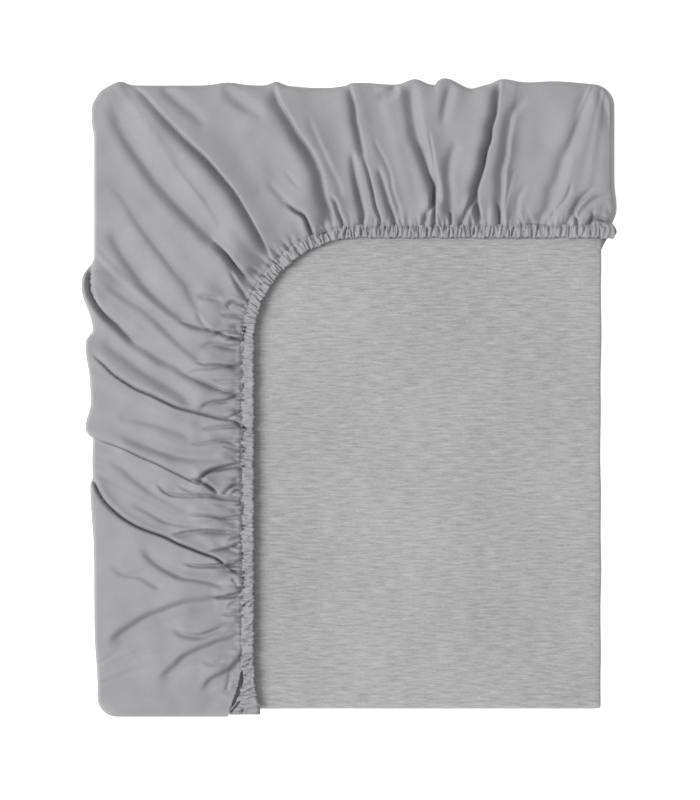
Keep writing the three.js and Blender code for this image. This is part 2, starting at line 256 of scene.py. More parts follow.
@dataclass(frozen=True)
class HemLine:
    """Course of the hem: up the left side, round a corner and along the back."""

    left: float = -75.8
    back: float = 128.0
    radius: float = 84.2
    width: float = 10.8
    front: float = -253.2
    right: float = 211.0
    flare_start: float = -218.0
    flare_out: float = 10.4
    flare_in: float = 5.2

    @property
    def centre(self) -> tuple[float, float]:
        """Centre of the rounded corner."""
        return self.left + self.radius, self.back - self.radius

    @property
    def lengths(self) -> tuple[float, float, float]:
        """Lengths of the left run, the corner and the back run, on the inner edge."""
        centre_x, centre_y = self.centre
        return centre_y - self.front, self.radius * math.pi / 2, self.right - centre_x

    @property
    def length(self) -> float:
        """Whole length of the hem's inner edge."""
        return sum(self.lengths)

    def distance(self, x: np.ndarray, y: np.ndarray) -> np.ndarray:
        """Measures how far places are outside the hem's inner edge.

        Args:
            x: Places across.
            y: Places along.

        Returns:
            Distances towards the skirt's edge.
        """
        centre_x, centre_y = self.centre
        corner = np.hypot(x - centre_x, y - centre_y) - self.radius
        return np.where(x > centre_x, y - self.back, np.where(y < centre_y, self.left - x, corner))

    def nearest(self, x: np.ndarray, y: np.ndarray) -> np.ndarray:
        """Measures along the hem to the place nearest to each place.

        Args:
            x: Places across.
            y: Places along.

        Returns:
            Lengths from the hem's front end.
        """
        centre_x, centre_y = self.centre
        run, bend, _ = self.lengths
        angle = np.arctan2(np.maximum(0, y - centre_y), np.maximum(1e-6, centre_x - x))
        corner = run + self.radius * angle
        beside = np.where(y < centre_y, y - self.front, corner)
        return np.where(x > centre_x, run + bend + x - centre_x, beside)

    def parted(self, y: np.ndarray) -> np.ndarray:
        """Gives how far the skirt has come away from the casing near the front end."""
        return smooth(self.flare_start + 2, self.flare_start - 1, y)

    def flare(self, y: np.ndarray, out: float) -> np.ndarray:
        """Gives how far an edge of the hem spreads near its front end.

        Args:
            y: Places along.
            out: The spread at the very end.

        Returns:
            The spread at each place.
        """
        share = np.clip((self.flare_start - y) / (self.flare_start - self.front), 0, 1)
        return out * share**1.4

    def place(self, along: np.ndarray) -> tuple[np.ndarray, np.ndarray, np.ndarray, np.ndarray]:
        """Finds points of the inner edge.

        Args:
            along: Lengths along it from the front end.

        Returns:
            The points' x and y, and the x and y of the direction towards the skirt's edge.
        """
        centre_x, centre_y = self.centre
        run, bend, _ = self.lengths
        angle = np.clip((along - run) / self.radius, 0, math.pi / 2)
        out_x, out_y = -np.cos(angle), np.sin(angle)
        x = centre_x + self.radius * out_x + np.maximum(0, along - run - bend)
        y = centre_y + self.radius * out_y - np.maximum(0, run - along)
        return x, y, out_x, out_y

    def along(self, x: float, y: float) -> float:
        """Finds the length along the hem of the place nearest to a point.

        Args:
            x: The point's place across.
            y: The point's place along.

        Returns:
            The length from the front end.
        """
        lengths = np.linspace(0, self.length, 4000)
        hem_x, hem_y, _, _ = self.place(lengths)
        return float(lengths[np.argmin(np.hypot(hem_x - x, hem_y - y))])


def evenly(points: np.ndarray, count: int) -> np.ndarray:
    """Spaces points evenly along a line.

    Args:
        points: The line's corners, one row each.
        count: Number of points wanted.

    Returns:
        The evenly spaced points.
    """
    steps = np.hypot(*np.diff(points, axis=0).T)
    length = np.concatenate([[0], np.cumsum(steps)])
    wanted = np.linspace(0, length[-1], count)
    return np.stack([np.interp(wanted, length, points[:, k]) for k in range(2)], axis=1)


def smooth(start: float, end: float, value: np.ndarray) -> np.ndarray:
    """Rises softly from 0 at start to 1 at end."""
    share = np.clip((value - start) / (end - start), 0, 1)
    return share * share * (3 - 2 * share)


def spline(points: tuple[tuple[float, float], ...], step: float = 3.0) -> np.ndarray:
    """Draws a smooth curve through points.

    Args:
        points: The points.
        step: Length of the curve's straight pieces.

    Returns:
        The curve's corners, one row each.
    """
    p = np.array(points, float)
    p = np.vstack([2 * p[0] - p[1], p, 2 * p[-1] - p[-2]])
    pieces = []
    for a, b, c, d in zip(p, p[1:], p[2:], p[3:]):
        count = max(2, int(np.hypot(*(c - b)) / step))
        t = np.linspace(0, 1, count, endpoint=False)[:, None]
        pieces.append(0.5 * (2 * b + (c - a) * t + (2 * a - 5 * b + 4 * c - d) * t**2
                             + (3 * b - a - 3 * c + d) * t**3))
    return np.vstack([*pieces, p[-2:-1]])


@dataclass(frozen=True)
class Crease:
    """A crease of the skirt, from its edge towards the hem.

    left and right are its softness on the two sides of someone who walks it that way, depth
    its depth in the middle, start and end the shares of that at its ends, and lean how far
    the cloth on its crisper side leans over it.
    """

    path: tuple[tuple[float, float], ...]
    left: float
    right: float
    depth: float
    start: float = 0.5
    end: float = 0.8
    lean: float = 0.0

    @property
    def spread(self) -> float:
        """How wide the raised cloth on a crisp side is."""
        steps = np.hypot(*np.diff(np.array(self.path), axis=0).T)
        return min(RIDGE_PER_DEPTH * self.depth, WIDEST_RIDGE,
                   RIDGE_PER_LENGTH * float(steps.sum()))

    def press(self, x: np.ndarray, y: np.ndarray, moved: np.ndarray) -> None:
        """Presses the crease into the cloth.

        Args:
            x: Places across.
            y: Places along.
            moved: The cloth's moves across, along and up at those places, which this changes.
        """
        line = spline(self.path)
        reach = PRESS_REACH * max(SOFT_REACH * self.left * (self.left >= CRISP),
                                  SOFT_REACH * self.right * (self.right >= CRISP), self.spread)
        low, high = line.min(axis=0) - reach, line.max(axis=0) + reach
        near = (x > low[0]) & (x < high[0]) & (y > low[1]) & (y < high[1])
        px, py = x[near], y[near]
        best = np.full(px.shape, np.inf)
        side, share = np.zeros(px.shape), np.zeros(px.shape)
        off_x, off_y = np.zeros(px.shape), np.zeros(px.shape)
        count = len(line) - 1
        for k, (a, b) in enumerate(zip(line, line[1:])):
            step = b - a
            length = step @ step
            t = np.clip(((px - a[0]) * step[0] + (py - a[1]) * step[1]) / length, 0, 1)
            dx, dy = px - a[0] - t * step[0], py - a[1] - t * step[1]
            distance = np.hypot(dx, dy)
            closer = distance < best
            best[closer] = distance[closer]
            off_x[closer], off_y[closer] = dx[closer], dy[closer]
            side[closer] = (step[0] * dy - step[1] * dx)[closer]
            share[closer] = (k + t[closer]) / count
        strength = np.interp(share, [0, 0.5, 1], [self.start, 1, self.end])
        steps = np.hypot(*np.diff(line, axis=0).T)
        ending = float(np.clip(0.8 * self.spread / steps.sum(), 0.1, 0.3))
        strength = strength * smooth(0, ending, share)
        if self.end < 0.9:
            strength = strength * smooth(1, 1 - ending, share)
        width = np.where(side > 0, self.left, self.right)
        crisp = min(self.left, self.right)
        power = np.where(width < CRISP, 2.0, 1.6 if crisp < CRISP else 2.0)
        spread = np.where(width < CRISP, self.spread, SOFT_REACH * width)
        fold = np.exp(-((best / width) ** power)) - RIDGE * np.exp(-((best / spread) ** 2))
        moved[2][near] -= self.depth * strength * fold
        if self.lean:
            leaning = side * (1 if self.left <= self.right else -1) > 0
            top = np.exp(-(((best - 1.5 * crisp) / (1.5 * crisp)) ** 2)) * smooth(0, crisp, best)
            pull = self.lean * strength * np.where(leaning, top, 0) / np.maximum(best, 0.1)
            moved[0][near] -= pull * off_x
            moved[1][near] -= pull * off_y


PIXEL = 0.8
PHOTO_MIDDLE = (349, 398)
DEEPENING = 1.6


def on_part(*places: tuple[float, float]) -> tuple[tuple[float, float], ...]:
    """Turns places in the photograph into whole millimetres on the part.

    Args:
        *places: Pixels across and down.

    Returns:
        The same places across and along the part.
    """
    return tuple((round((across - PHOTO_MIDDLE[0]) * PIXEL), round((PHOTO_MIDDLE[1] - down) * PIXEL))
                 for across, down in places)


def by_eye(path: tuple[tuple[float, float], ...], left: float, right: float, depth: float,
           start: float = 0.5, end: float = 0.8, lean: float = 0.0, aside: float = 0.0) -> Crease:
    """Turns a crease as it was placed on the photograph into one on the part.

    Args:
        path: Its pixels, from the skirt's edge towards the hem.
        left: Softness on the left side.
        right: Softness on the right side.
        depth: Depth as judged from above, where it looks shallower than it is.
        start: Share of the depth at its start.
        end: Share of the depth at its end.
        lean: How far the crisper side leans over it.
        aside: Distance to the right from the path to the crease's floor.

    Returns:
        The crease.
    """
    line = np.array(on_part(*path), dtype=float)
    step = np.gradient(line, axis=0)
    step /= np.hypot(*step.T)[:, None]
    line += aside * np.stack([step[:, 1], -step[:, 0]], axis=1)
    return Crease(tuple(map(tuple, line.tolist())), left, right, round(DEEPENING * depth, 1),
                  start, end, lean)


CREASES = (
    # Long crease from the back left corner
    by_eye(((124, 86), (134, 88), (144, 94), (156, 108), (171, 124), (188, 140), (206, 158),
          (223, 177), (234, 190), (243, 204), (254, 224), (265, 246), (272, 262)), 1, 5.4, 6.6,
          0.4, 0.8, 1.1),
    # Soft crease beside it
    by_eye(((111, 97), (116, 112), (123, 128), (133, 145), (145, 163), (158, 180), (173, 198),
          (189, 214), (200, 226), (210, 236)), 12, 6.4, 4.7, 0.5, 0.9),
    # Its deep end
    by_eye(((209, 236), (220, 247), (229, 256), (237, 266), (245, 276), (252, 282)), 1, 4.2, 8.7,
          0.4, 0.8, 1.1),
    by_eye(((229, 268), (236, 283), (243, 293), (250, 303)), 1.6, 1.6, 2.5, 0.3, 1),
    by_eye(((169, 153), (180, 168), (194, 186), (206, 202), (216, 218), (224, 234)), 6, 2.5, 1, 0.5,
          0.8),
    # Soft creases of the left side
    by_eye(((106, 182), (121, 194), (132, 211), (144, 229), (155, 244), (165, 257), (175, 270),
          (186, 283), (194, 300), (205, 316), (214, 326)), 9, 3.8, 1.7, 0.4, 0.6),
    by_eye(((110, 224), (117, 240), (125, 256), (135, 271), (147, 285), (159, 298), (172, 309),
          (184, 318), (198, 325), (214, 329)), 10, 5.4, 4.1, 0.4, 0.5),
    by_eye(((178, 320), (196, 327), (214, 331), (228, 336), (243, 341)), 1, 1.9, 2.8, 0.4, 1, 0.6),
    # Upper lobe of the left edge
    by_eye(((94, 260), (91, 271), (90, 282), (91, 292), (96, 303), (105, 314), (116, 324),
          (128, 335), (140, 345)), 1, 3, 6.5, 0.9, 0.2, 0.35),
    by_eye(((95, 300), (107, 315), (121, 329), (134, 340), (149, 351), (163, 359), (176, 366),
          (188, 374), (200, 381), (214, 387), (232, 393)), 7, 5.4, 4.8, 0.2, 0.5),
    by_eye(((180, 372), (196, 379), (210, 385), (224, 391), (236, 393)), 1.2, 2, 2.6, 0.3, 0.9),
    by_eye(((103, 287), (117, 291), (131, 300), (146, 311), (159, 322), (169, 332), (179, 342),
          (189, 351), (199, 358), (210, 362)), 9, 3.8, 2, 0.5, 0.7),
    by_eye(((194, 362), (206, 364), (220, 364), (232, 366), (244, 365)), 1, 1.7, 3, 0.4, 1, 0.4),
    by_eye(((187, 374), (200, 371), (214, 369), (228, 367), (244, 366)), 1, 1.5, 2, 0.5, 1),
    by_eye(((103, 335), (112, 345), (125, 355), (138, 366), (153, 375), (167, 383), (179, 391),
          (188, 400), (196, 410)), 8, 5.6, 3.6, 0.6, 0.6),
    # Second lobe of the left edge
    by_eye(((92, 350), (97, 358), (104, 366), (113, 374), (122, 381), (135, 389), (150, 396),
          (163, 402), (176, 408), (190, 412), (205, 416), (220, 419), (232, 421), (240, 425)),
          2.4, 1, 3.6, 0.6, 0.9, 0.7),
    by_eye(((200, 414), (204, 406), (214, 402), (226, 400), (236, 396), (245, 392)), 1.2, 2, 3.2,
          0.5, 1),
    by_eye(((226, 419), (235, 414), (245, 411)), 1, 1.2, 2.6, 0.6, 1),
    by_eye(((118, 419), (135, 419), (150, 422), (165, 427), (180, 432), (192, 438)), 6, 3.6, 1.8,
          0.5, 0.6),
    by_eye(((188, 444), (205, 443), (220, 441), (244, 442)), 1.2, 1.5, 2.2, 0.4, 1),
    by_eye(((200, 429), (212, 428), (225, 427), (244, 427)), 1.2, 1.5, 2.4, 0.4, 1),
    by_eye(((222, 445), (232, 448), (244, 451)), 1, 1.2, 2, 0.4, 1),
    by_eye(((116, 434), (133, 439), (148, 445), (162, 451), (176, 455), (192, 457), (208, 458),
          (224, 455)), 5, 4.2, 3.6, 0.4, 0.5),
    # Third line of the left side
    by_eye(((98, 439), (113, 444), (125, 449), (140, 457), (155, 463), (168, 469), (180, 475),
          (190, 480), (200, 484)), 1.3, 1, 1.8, 0.5, 1, 0.5),
    by_eye(((190, 479), (201, 482), (210, 488), (219, 494)), 2, 1, 5.4, 0.5, 0.7),
    by_eye(((198, 485), (204, 476), (213, 471), (224, 468), (234, 466), (246, 463)), 1.8, 1.6, 5.4,
          0.9, 0.8),
    by_eye(((108, 461), (121, 467), (132, 475), (144, 485), (157, 494), (170, 502), (182, 508),
          (194, 512)), 6, 3.6, 1.8, 0.5, 0.5),
    by_eye(((186, 514), (200, 514), (212, 516), (225, 518), (244, 516)), 1, 1.5, 2.6, 0.5, 1),
    by_eye(((156, 481), (163, 489), (172, 494), (185, 496), (200, 495), (212, 496), (222, 498),
          (232, 499), (244, 501)), 1.2, 1.8, 2.8, 0.8, 1),
    by_eye(((176, 484), (186, 489), (196, 493), (206, 496)), 1.2, 1.6, 1.9, 0.4, 0.8),
    by_eye(((221, 497), (228, 490), (234, 485), (245, 482)), 1.6, 1.2, 3.2, 0.6, 0.9),
    by_eye(((230, 495), (237, 491), (245, 491)), 1.2, 1.2, 3.4, 0.4, 1),
    by_eye(((212, 504), (225, 504), (244, 504)), 1.2, 1.2, 1.5, 0.5, 1),
    by_eye(((130, 503), (142, 508), (152, 513), (162, 519), (174, 523), (190, 525), (205, 524),
          (220, 521), (236, 518)), 3.4, 2.4, 2.2, 0.5, 0.5),
    # Third lobe of the left edge
    by_eye(((92, 474), (94, 482), (98, 492), (105, 503), (113, 511), (122, 518), (132, 524),
          (142, 529), (152, 533), (165, 538), (178, 544), (190, 549), (203, 554), (214, 558),
          (222, 563)), 1.9, 1, 4.8, 0.8, 0.9, 0.9),
    by_eye(((166, 537), (185, 533), (203, 531), (222, 532), (244, 533)), 1.4, 3, 4.5, 0.5, 0.9),
    by_eye(((206, 553), (218, 551), (230, 548), (244, 541)), 1.6, 1.3, 3, 0.5, 0.9),
    by_eye(((180, 562), (195, 565), (210, 565), (225, 566), (245, 565)), 1.2, 1.7, 3.2, 0.4, 1),
    by_eye(((234, 563), (240, 560), (246, 558)), 1, 1, 2.8, 0.7, 1),
    by_eye(((141, 543), (146, 553), (155, 562), (166, 569), (180, 575), (194, 578), (208, 580),
          (220, 584), (229, 587)), 5, 3, 3.8, 0.5, 0.6),
    by_eye(((112, 567), (125, 574), (138, 576), (148, 580), (158, 587)), 3, 2.2, 1.6, 0.7, 0.9),
    by_eye(((232, 575), (236, 583), (241, 590)), 1.2, 1.6, 1.3, 0.6, 0.9),
    # Crease that rises towards the hem
    by_eye(((106, 646), (114, 638), (124, 630), (135, 623), (148, 616), (161, 610), (174, 605),
          (187, 602), (201, 600), (214, 598), (226, 597), (236, 594), (246, 588)), 4, 9, 4.3, 0.8,
          0.7, aside=2.1),
    by_eye(((212, 598), (226, 597), (236, 594), (246, 588)), 1.2, 1.3, 5.5, 0.4, 1, 0.4),
    by_eye(((172, 627), (181, 633), (192, 636), (203, 635), (213, 632), (228, 627)), 2.2, 3, 3.3,
          0.5, 0.6),
    by_eye(((222, 613), (231, 614), (244, 611)), 1.2, 1.6, 2.2, 0.7, 0.9),
    by_eye(((226, 607), (234, 603), (245, 600)), 1.2, 1.4, 2.2, 0.6, 0.9),
    by_eye(((156, 680), (166, 672), (175, 664), (184, 656), (194, 650), (206, 645), (219, 641),
          (231, 638), (245, 634)), 3.4, 7, 3.8, 0.5, 0.7, aside=2.1),
    by_eye(((200, 694), (205, 684), (212, 678), (222, 673), (229, 669), (236, 662), (242, 655),
          (248, 648)), 2.6, 6, 4, 0.4, 1, aside=1.6),
    by_eye(((203, 660), (213, 663), (224, 660)), 2, 2.4, 1.6, 0.8, 0.7),
    by_eye(((226, 692), (229, 681), (232, 670)), 1.6, 1.6, 1.3, 0.7, 0.8),
    # Crease to the corner of the hem
    by_eye(((274, 83), (276, 95), (282, 107), (290, 121), (298, 134), (306, 146), (314, 158),
          (320, 172), (323, 186), (326, 200), (331, 214), (333, 229)), 1.3, 7, 8, 0.6, 0.7, 0.8),
    by_eye(((308, 116), (316, 138), (324, 154), (332, 170), (339, 186), (343, 202)), 2, 4, 1, 0.6,
          0.7),
    by_eye(((328, 194), (335, 202), (339, 213), (345, 228)), 1.2, 2.2, 3.8, 0.4, 1, 0.3),
    by_eye(((285, 200), (294, 209), (304, 216), (309, 225), (314, 240)), 1.2, 1.9, 6.3, 0.4, 1,
          0.3),
    by_eye(((268, 183), (280, 196), (292, 210)), 3, 3, 1, 0.7, 0.7),
    by_eye(((285, 172), (293, 180), (300, 188)), 2, 2, 0.8, 0.7, 0.7),
    by_eye(((160, 85), (172, 96), (184, 106), (196, 116), (207, 127)), 5, 5, 2.4, 0.8, 0.5),
    by_eye(((222, 86), (232, 96), (244, 104), (256, 112), (267, 118)), 5, 5.6, 2.6, 0.8, 0.5),
    # Crease that forks on the back side
    by_eye(((349, 82), (352, 94), (355, 107), (357, 120), (359, 132), (361, 144), (364, 156),
          (367, 166)), 1.2, 4.2, 4.8, 0.6, 0.8, 0.7),
    by_eye(((352, 148), (354, 164), (357, 180), (359, 192), (362, 204), (364, 214), (362, 229)),
          1.6, 3.4, 5.3, 0.4, 1, 0.4),
    by_eye(((363, 154), (368, 171), (371, 185), (374, 197), (377, 208), (380, 218), (381, 229)), 1,
          1.8, 3, 0.5, 1, 0.5),
    by_eye(((373, 137), (379, 150), (385, 162), (390, 175), (393, 190), (397, 202), (400, 213),
          (401, 228)), 1.5, 2.2, 0.9, 0.6, 1),
    by_eye(((377, 164), (382, 178), (385, 192), (389, 204), (393, 214), (396, 228)), 1.6, 3, 3.8,
          0.4, 1, 0.3),
    by_eye(((398, 84), (393, 92), (385, 96), (375, 99)), 3, 4, 3.2, 1, 0.4),
    # Broad valley
    by_eye(((411, 82), (412, 100), (414, 118), (417, 134), (421, 148), (425, 160), (429, 172),
          (433, 184), (435, 198)), 4.6, 6.4, 5.2, 0.7, 0.9),
    by_eye(((416, 138), (421, 150), (425, 162), (429, 174), (434, 185), (435, 196), (431, 208),
          (426, 217), (423, 229)), 1.2, 2.6, 3.6, 0.4, 1),
    by_eye(((434, 186), (435, 200), (435, 214), (435, 229)), 1, 2.6, 5.2, 0.5, 1, 1),
    # Pleat's edge
    by_eye(((429, 130), (432, 145), (434, 162), (435, 180), (436, 200), (436, 214)), 1, 2.4, 2.4,
          0.3, 0.8, 0.6),
    by_eye(((454, 82), (449, 92), (446, 103), (444, 114), (443, 130)), 4, 3.8, 2.7, 0.9, 0.1),
    by_eye(((459, 141), (453, 153), (449, 165), (448, 178), (449, 192), (449, 206), (451, 219)), 4,
          4.2, 2.4, 0.5, 0.8),
    by_eye(((450, 211), (452, 220), (452, 229)), 1, 1.6, 4, 0.5, 1),
    # Deepest crease
    by_eye(((500, 79), (499, 92), (498, 104), (496, 116), (493, 128), (491, 140), (488, 152),
          (485, 166), (481, 178), (478, 190), (478, 202), (480, 214), (481, 229)), 1, 5.2, 10.3,
          0.5, 0.6, 1.3),
    by_eye(((476, 192), (471, 203), (467, 212), (463, 222), (462, 229)), 1.5, 2.2, 4, 0.5, 1),
    by_eye(((529, 100), (518, 108), (512, 116), (509, 128), (507, 142), (505, 156), (502, 172),
          (501, 188), (500, 204), (500, 216), (501, 229)), 2.2, 4.8, 3.8, 0.5, 0.9),
    by_eye(((497, 200), (499, 212), (500, 229)), 1, 1.6, 3, 0.4, 1),
    by_eye(((514, 168), (511, 178), (509, 188), (506, 198), (504, 208), (503, 220)), 1.8, 2.2, 0.9,
          0.6, 0.9),
    by_eye(((527, 185), (521, 192), (518, 200), (517, 210), (515, 226)), 2.4, 3.2, 1.2, 0.6, 0.8),
    by_eye(((590, 86), (583, 103), (579, 118), (575, 132), (570, 144), (564, 156), (560, 168),
          (556, 180), (552, 192), (549, 204), (545, 214), (537, 222), (528, 229)), 6, 5, 2.6, 0.5,
          0.9),
    by_eye(((572, 183), (566, 198), (557, 210), (545, 225)), 1.6, 1.8, 1.4, 0.6, 0.9),
    by_eye(((595, 187), (585, 195), (579, 202), (574, 211), (569, 221), (563, 231)), 1.8, 2.8, 4,
          0.4, 0.9),
    by_eye(((573, 211), (577, 220), (578, 230)), 1.3, 1.5, 2.2, 0.6, 1),
    by_eye(((598, 86), (603, 102), (606, 116), (608, 132)), 4, 4.6, 1.7, 0.8, 0.4),
    by_eye(((614, 196), (600, 198), (588, 205), (580, 214), (575, 228)), 2.2, 3.2, 2.2, 0.6, 0.7),
    by_eye(((617, 220), (607, 221), (598, 218), (591, 221), (584, 229)), 2, 2, 4.4, 0.9, 0.5),
    by_eye(((594, 212), (592, 220), (592, 230)), 1.2, 1.5, 2.8, 0.5, 1),
    by_eye(((196, 297), (206, 297), (214, 298), (224, 299)), 2.4, 3, 2.6, 0.7, 0.5),
    by_eye(((226, 309), (229, 304), (234, 302), (244, 305)), 1.4, 1.8, 2.8, 0.6, 1),
    by_eye(((220, 315), (229, 316), (244, 317)), 1.3, 1.8, 2.4, 0.4, 1),
    by_eye(((196, 311), (202, 320), (208, 328), (214, 333)), 1.6, 2.2, 1.4, 0.7, 0.7),
    by_eye(((214, 338), (216, 334), (222, 332), (232, 332), (244, 333)), 1.2, 1.6, 2.4, 0.5, 1),
    by_eye(((226, 340), (234, 338), (244, 338)), 1, 1.4, 2.2, 0.6, 1),
    by_eye(((198, 348), (206, 345), (214, 344), (222, 346), (230, 347), (244, 344)), 1.8, 2.4, 2.6,
          0.5, 1),
    by_eye(((212, 380), (225, 382), (244, 381)), 1.4, 2, 2.2, 0.5, 1),
    by_eye(((227, 540), (236, 537), (246, 534)), 1.2, 1.6, 2.2, 0.5, 1),
    by_eye(((229, 571), (236, 572), (246, 573)), 1.2, 1.6, 2.2, 0.5, 1),
)


@dataclass(frozen=True)
class Rib:
    """A line across the skirt that its cloth follows, from its edge to the hem.

    bow is how far its middle lies to the left of the straight line.
    """

    edge: tuple[float, float]
    hem: tuple[float, float]
    bow: float = 0.0


RIBS = (
    Rib(*on_part((104, 712), (241, 715)), 0),
    Rib(*on_part((95, 660), (241, 590)), 6),
    Rib(*on_part((93, 478), (241, 572)), 4),
    Rib(*on_part((93, 436), (241, 505)), 2),
    Rib(*on_part((88, 350), (241, 424)), -4),
    Rib(*on_part((84, 275), (241, 396)), -5),
    Rib(*on_part((94, 235), (243, 342)), -8),
    Rib(*on_part((98, 92), (247, 308)), -6),
    Rib(*on_part((122, 84), (266, 268)), 0),
    Rib(*on_part((205, 83), (287, 248)), 0),
    Rib(*on_part((272, 81), (330, 229)), -2),
    Rib(*on_part((348, 83), (380, 224)), 0),
    Rib(*on_part((400, 84), (440, 224)), 0),
    Rib(*on_part((500, 79), (458, 224)), -2),
    Rib(*on_part((520, 80), (499, 226)), -2),
    Rib(*on_part((588, 85), (529, 224)), -2),
    Rib(*on_part((607, 93), (612, 225)), 0),
)


def metres(points: np.ndarray) -> np.ndarray:
    """Turns millimetres into metres."""
    return np.asarray(points, float) * MM


def make_piece(name: str, points: np.ndarray, faces: list, finish: bpy.types.Material,
               uv: np.ndarray | None = None) -> bpy.types.Object:
    """Makes a smooth closed mesh object with its normals outwards.

    Args:
        name: The object's name.
        points: Its corners in millimetres, one row each.
        faces: Its faces as lists of corner numbers.
        finish: Its material.
        uv: A flat place in metres for each corner.

    Returns:
        The new object.
    """
    mesh = bpy.data.meshes.new(name)
    mesh.from_pydata(metres(points).tolist(), [], faces)
    mesh.update()
    build = bmesh.new()
    build.from_mesh(mesh)
    bmesh.ops.recalc_face_normals(build, faces=build.faces)
    build.to_mesh(mesh)
    build.free()
    if uv is not None:
        corners = np.empty(len(mesh.loops), np.int32)
        mesh.loops.foreach_get("vertex_index", corners)
        layer = mesh.uv_layers.new(name="cloth")
        layer.data.foreach_set("uv", uv[corners].astype(np.float32).ravel())
    mesh.shade_smooth()
    mesh.materials.append(finish)
    piece = bpy.data.objects.new(name, mesh)
    bpy.context.scene.collection.objects.link(piece)
    return piece


class Nodes:
    """A short way to write a shader or geometry node tree."""

    def __init__(self, tree: bpy.types.NodeTree) -> None:
        """Keeps the tree and empties it."""
        self.tree = tree
        tree.nodes.clear()

    def add(self, kind: str, inputs: dict | None = None, **settings) -> bpy.types.Node:
        """Adds a node.

        Args:
            kind: The node's type.
            inputs: Socket names or numbers with values, or sockets to link from.
            settings: The node's own settings.

        Returns:
            The new node.
        """
        node = self.tree.nodes.new(kind)
        for key, value in settings.items():
            setattr(node, key, value)
        for key, value in (inputs or {}).items():
            socket = node.inputs[key]
            if isinstance(value, bpy.types.NodeSocket):
                self.tree.links.new(value, socket)
            else:
                socket.default_value = value
        return node


def new_material(name: str) -> tuple[bpy.types.Material, Nodes]:
    """Makes an empty node material.

    Args:
        name: Its name.

    Returns:
        The material, and its node writer.
    """
    material = bpy.data.materials.new(name)
    material.use_nodes = True
    return material, Nodes(material.node_tree)


@dataclass(frozen=True)
class MelangeFinish:
    """Light grey melange cloth with fine slubs along its width."""

    light: tuple[float, float, float, float] = (0.48, 0.48, 0.483, 1)
    dark: tuple[float, float, float, float] = (0.29, 0.29, 0.295, 1)

    def material(self) -> bpy.types.Material:
        """Builds the material."""
        material, nodes = new_material("melange_cloth")
        place = nodes.add("ShaderNodeTexCoord").outputs["UV"]
        slub_place = nodes.add("ShaderNodeMapping", {"Vector": place, "Scale": (75, 620, 1)})
        slub = nodes.add("ShaderNodeTexNoise", {"Vector": slub_place.outputs[0], "Scale": 1,
                                                "Detail": 2, "Roughness": 0.6})
        yarn_place = nodes.add("ShaderNodeMapping", {"Vector": place, "Scale": (420, 1500, 1)})
        yarn = nodes.add("ShaderNodeTexNoise", {"Vector": yarn_place.outputs[0], "Scale": 1,
                                                "Detail": 2, "Roughness": 0.6})
        broad = nodes.add("ShaderNodeTexNoise", {"Vector": place, "Scale": 9, "Detail": 2})
        both = nodes.add("ShaderNodeMix", {"Factor": 0.38, 2: slub.outputs[0], 3: yarn.outputs[0]})
        shade = nodes.add("ShaderNodeMix", {"Factor": 0.16, 2: both.outputs[0],
                                            3: broad.outputs[0]})
        ramp = nodes.add("ShaderNodeValToRGB", {"Fac": shade.outputs[0]})
        ramp.color_ramp.elements[0].position, ramp.color_ramp.elements[1].position = 0.36, 0.64
        ramp.color_ramp.elements[0].color = self.dark
        ramp.color_ramp.elements[1].color = self.light
        bump = nodes.add("ShaderNodeBump", {"Strength": 0.5, "Distance": 0.0004,
                                            "Height": both.outputs[0]})
        cloth = nodes.add("ShaderNodeBsdfPrincipled", {
            "Base Color": ramp.outputs[0], "Roughness": 0.95, "Specular IOR Level": 0.15,
            "Sheen Weight": 0.15, "Sheen Roughness": 0.6, "Normal": bump.outputs[0]})
        nodes.add("ShaderNodeOutputMaterial", {"Surface": cloth.outputs[0]})
        return material


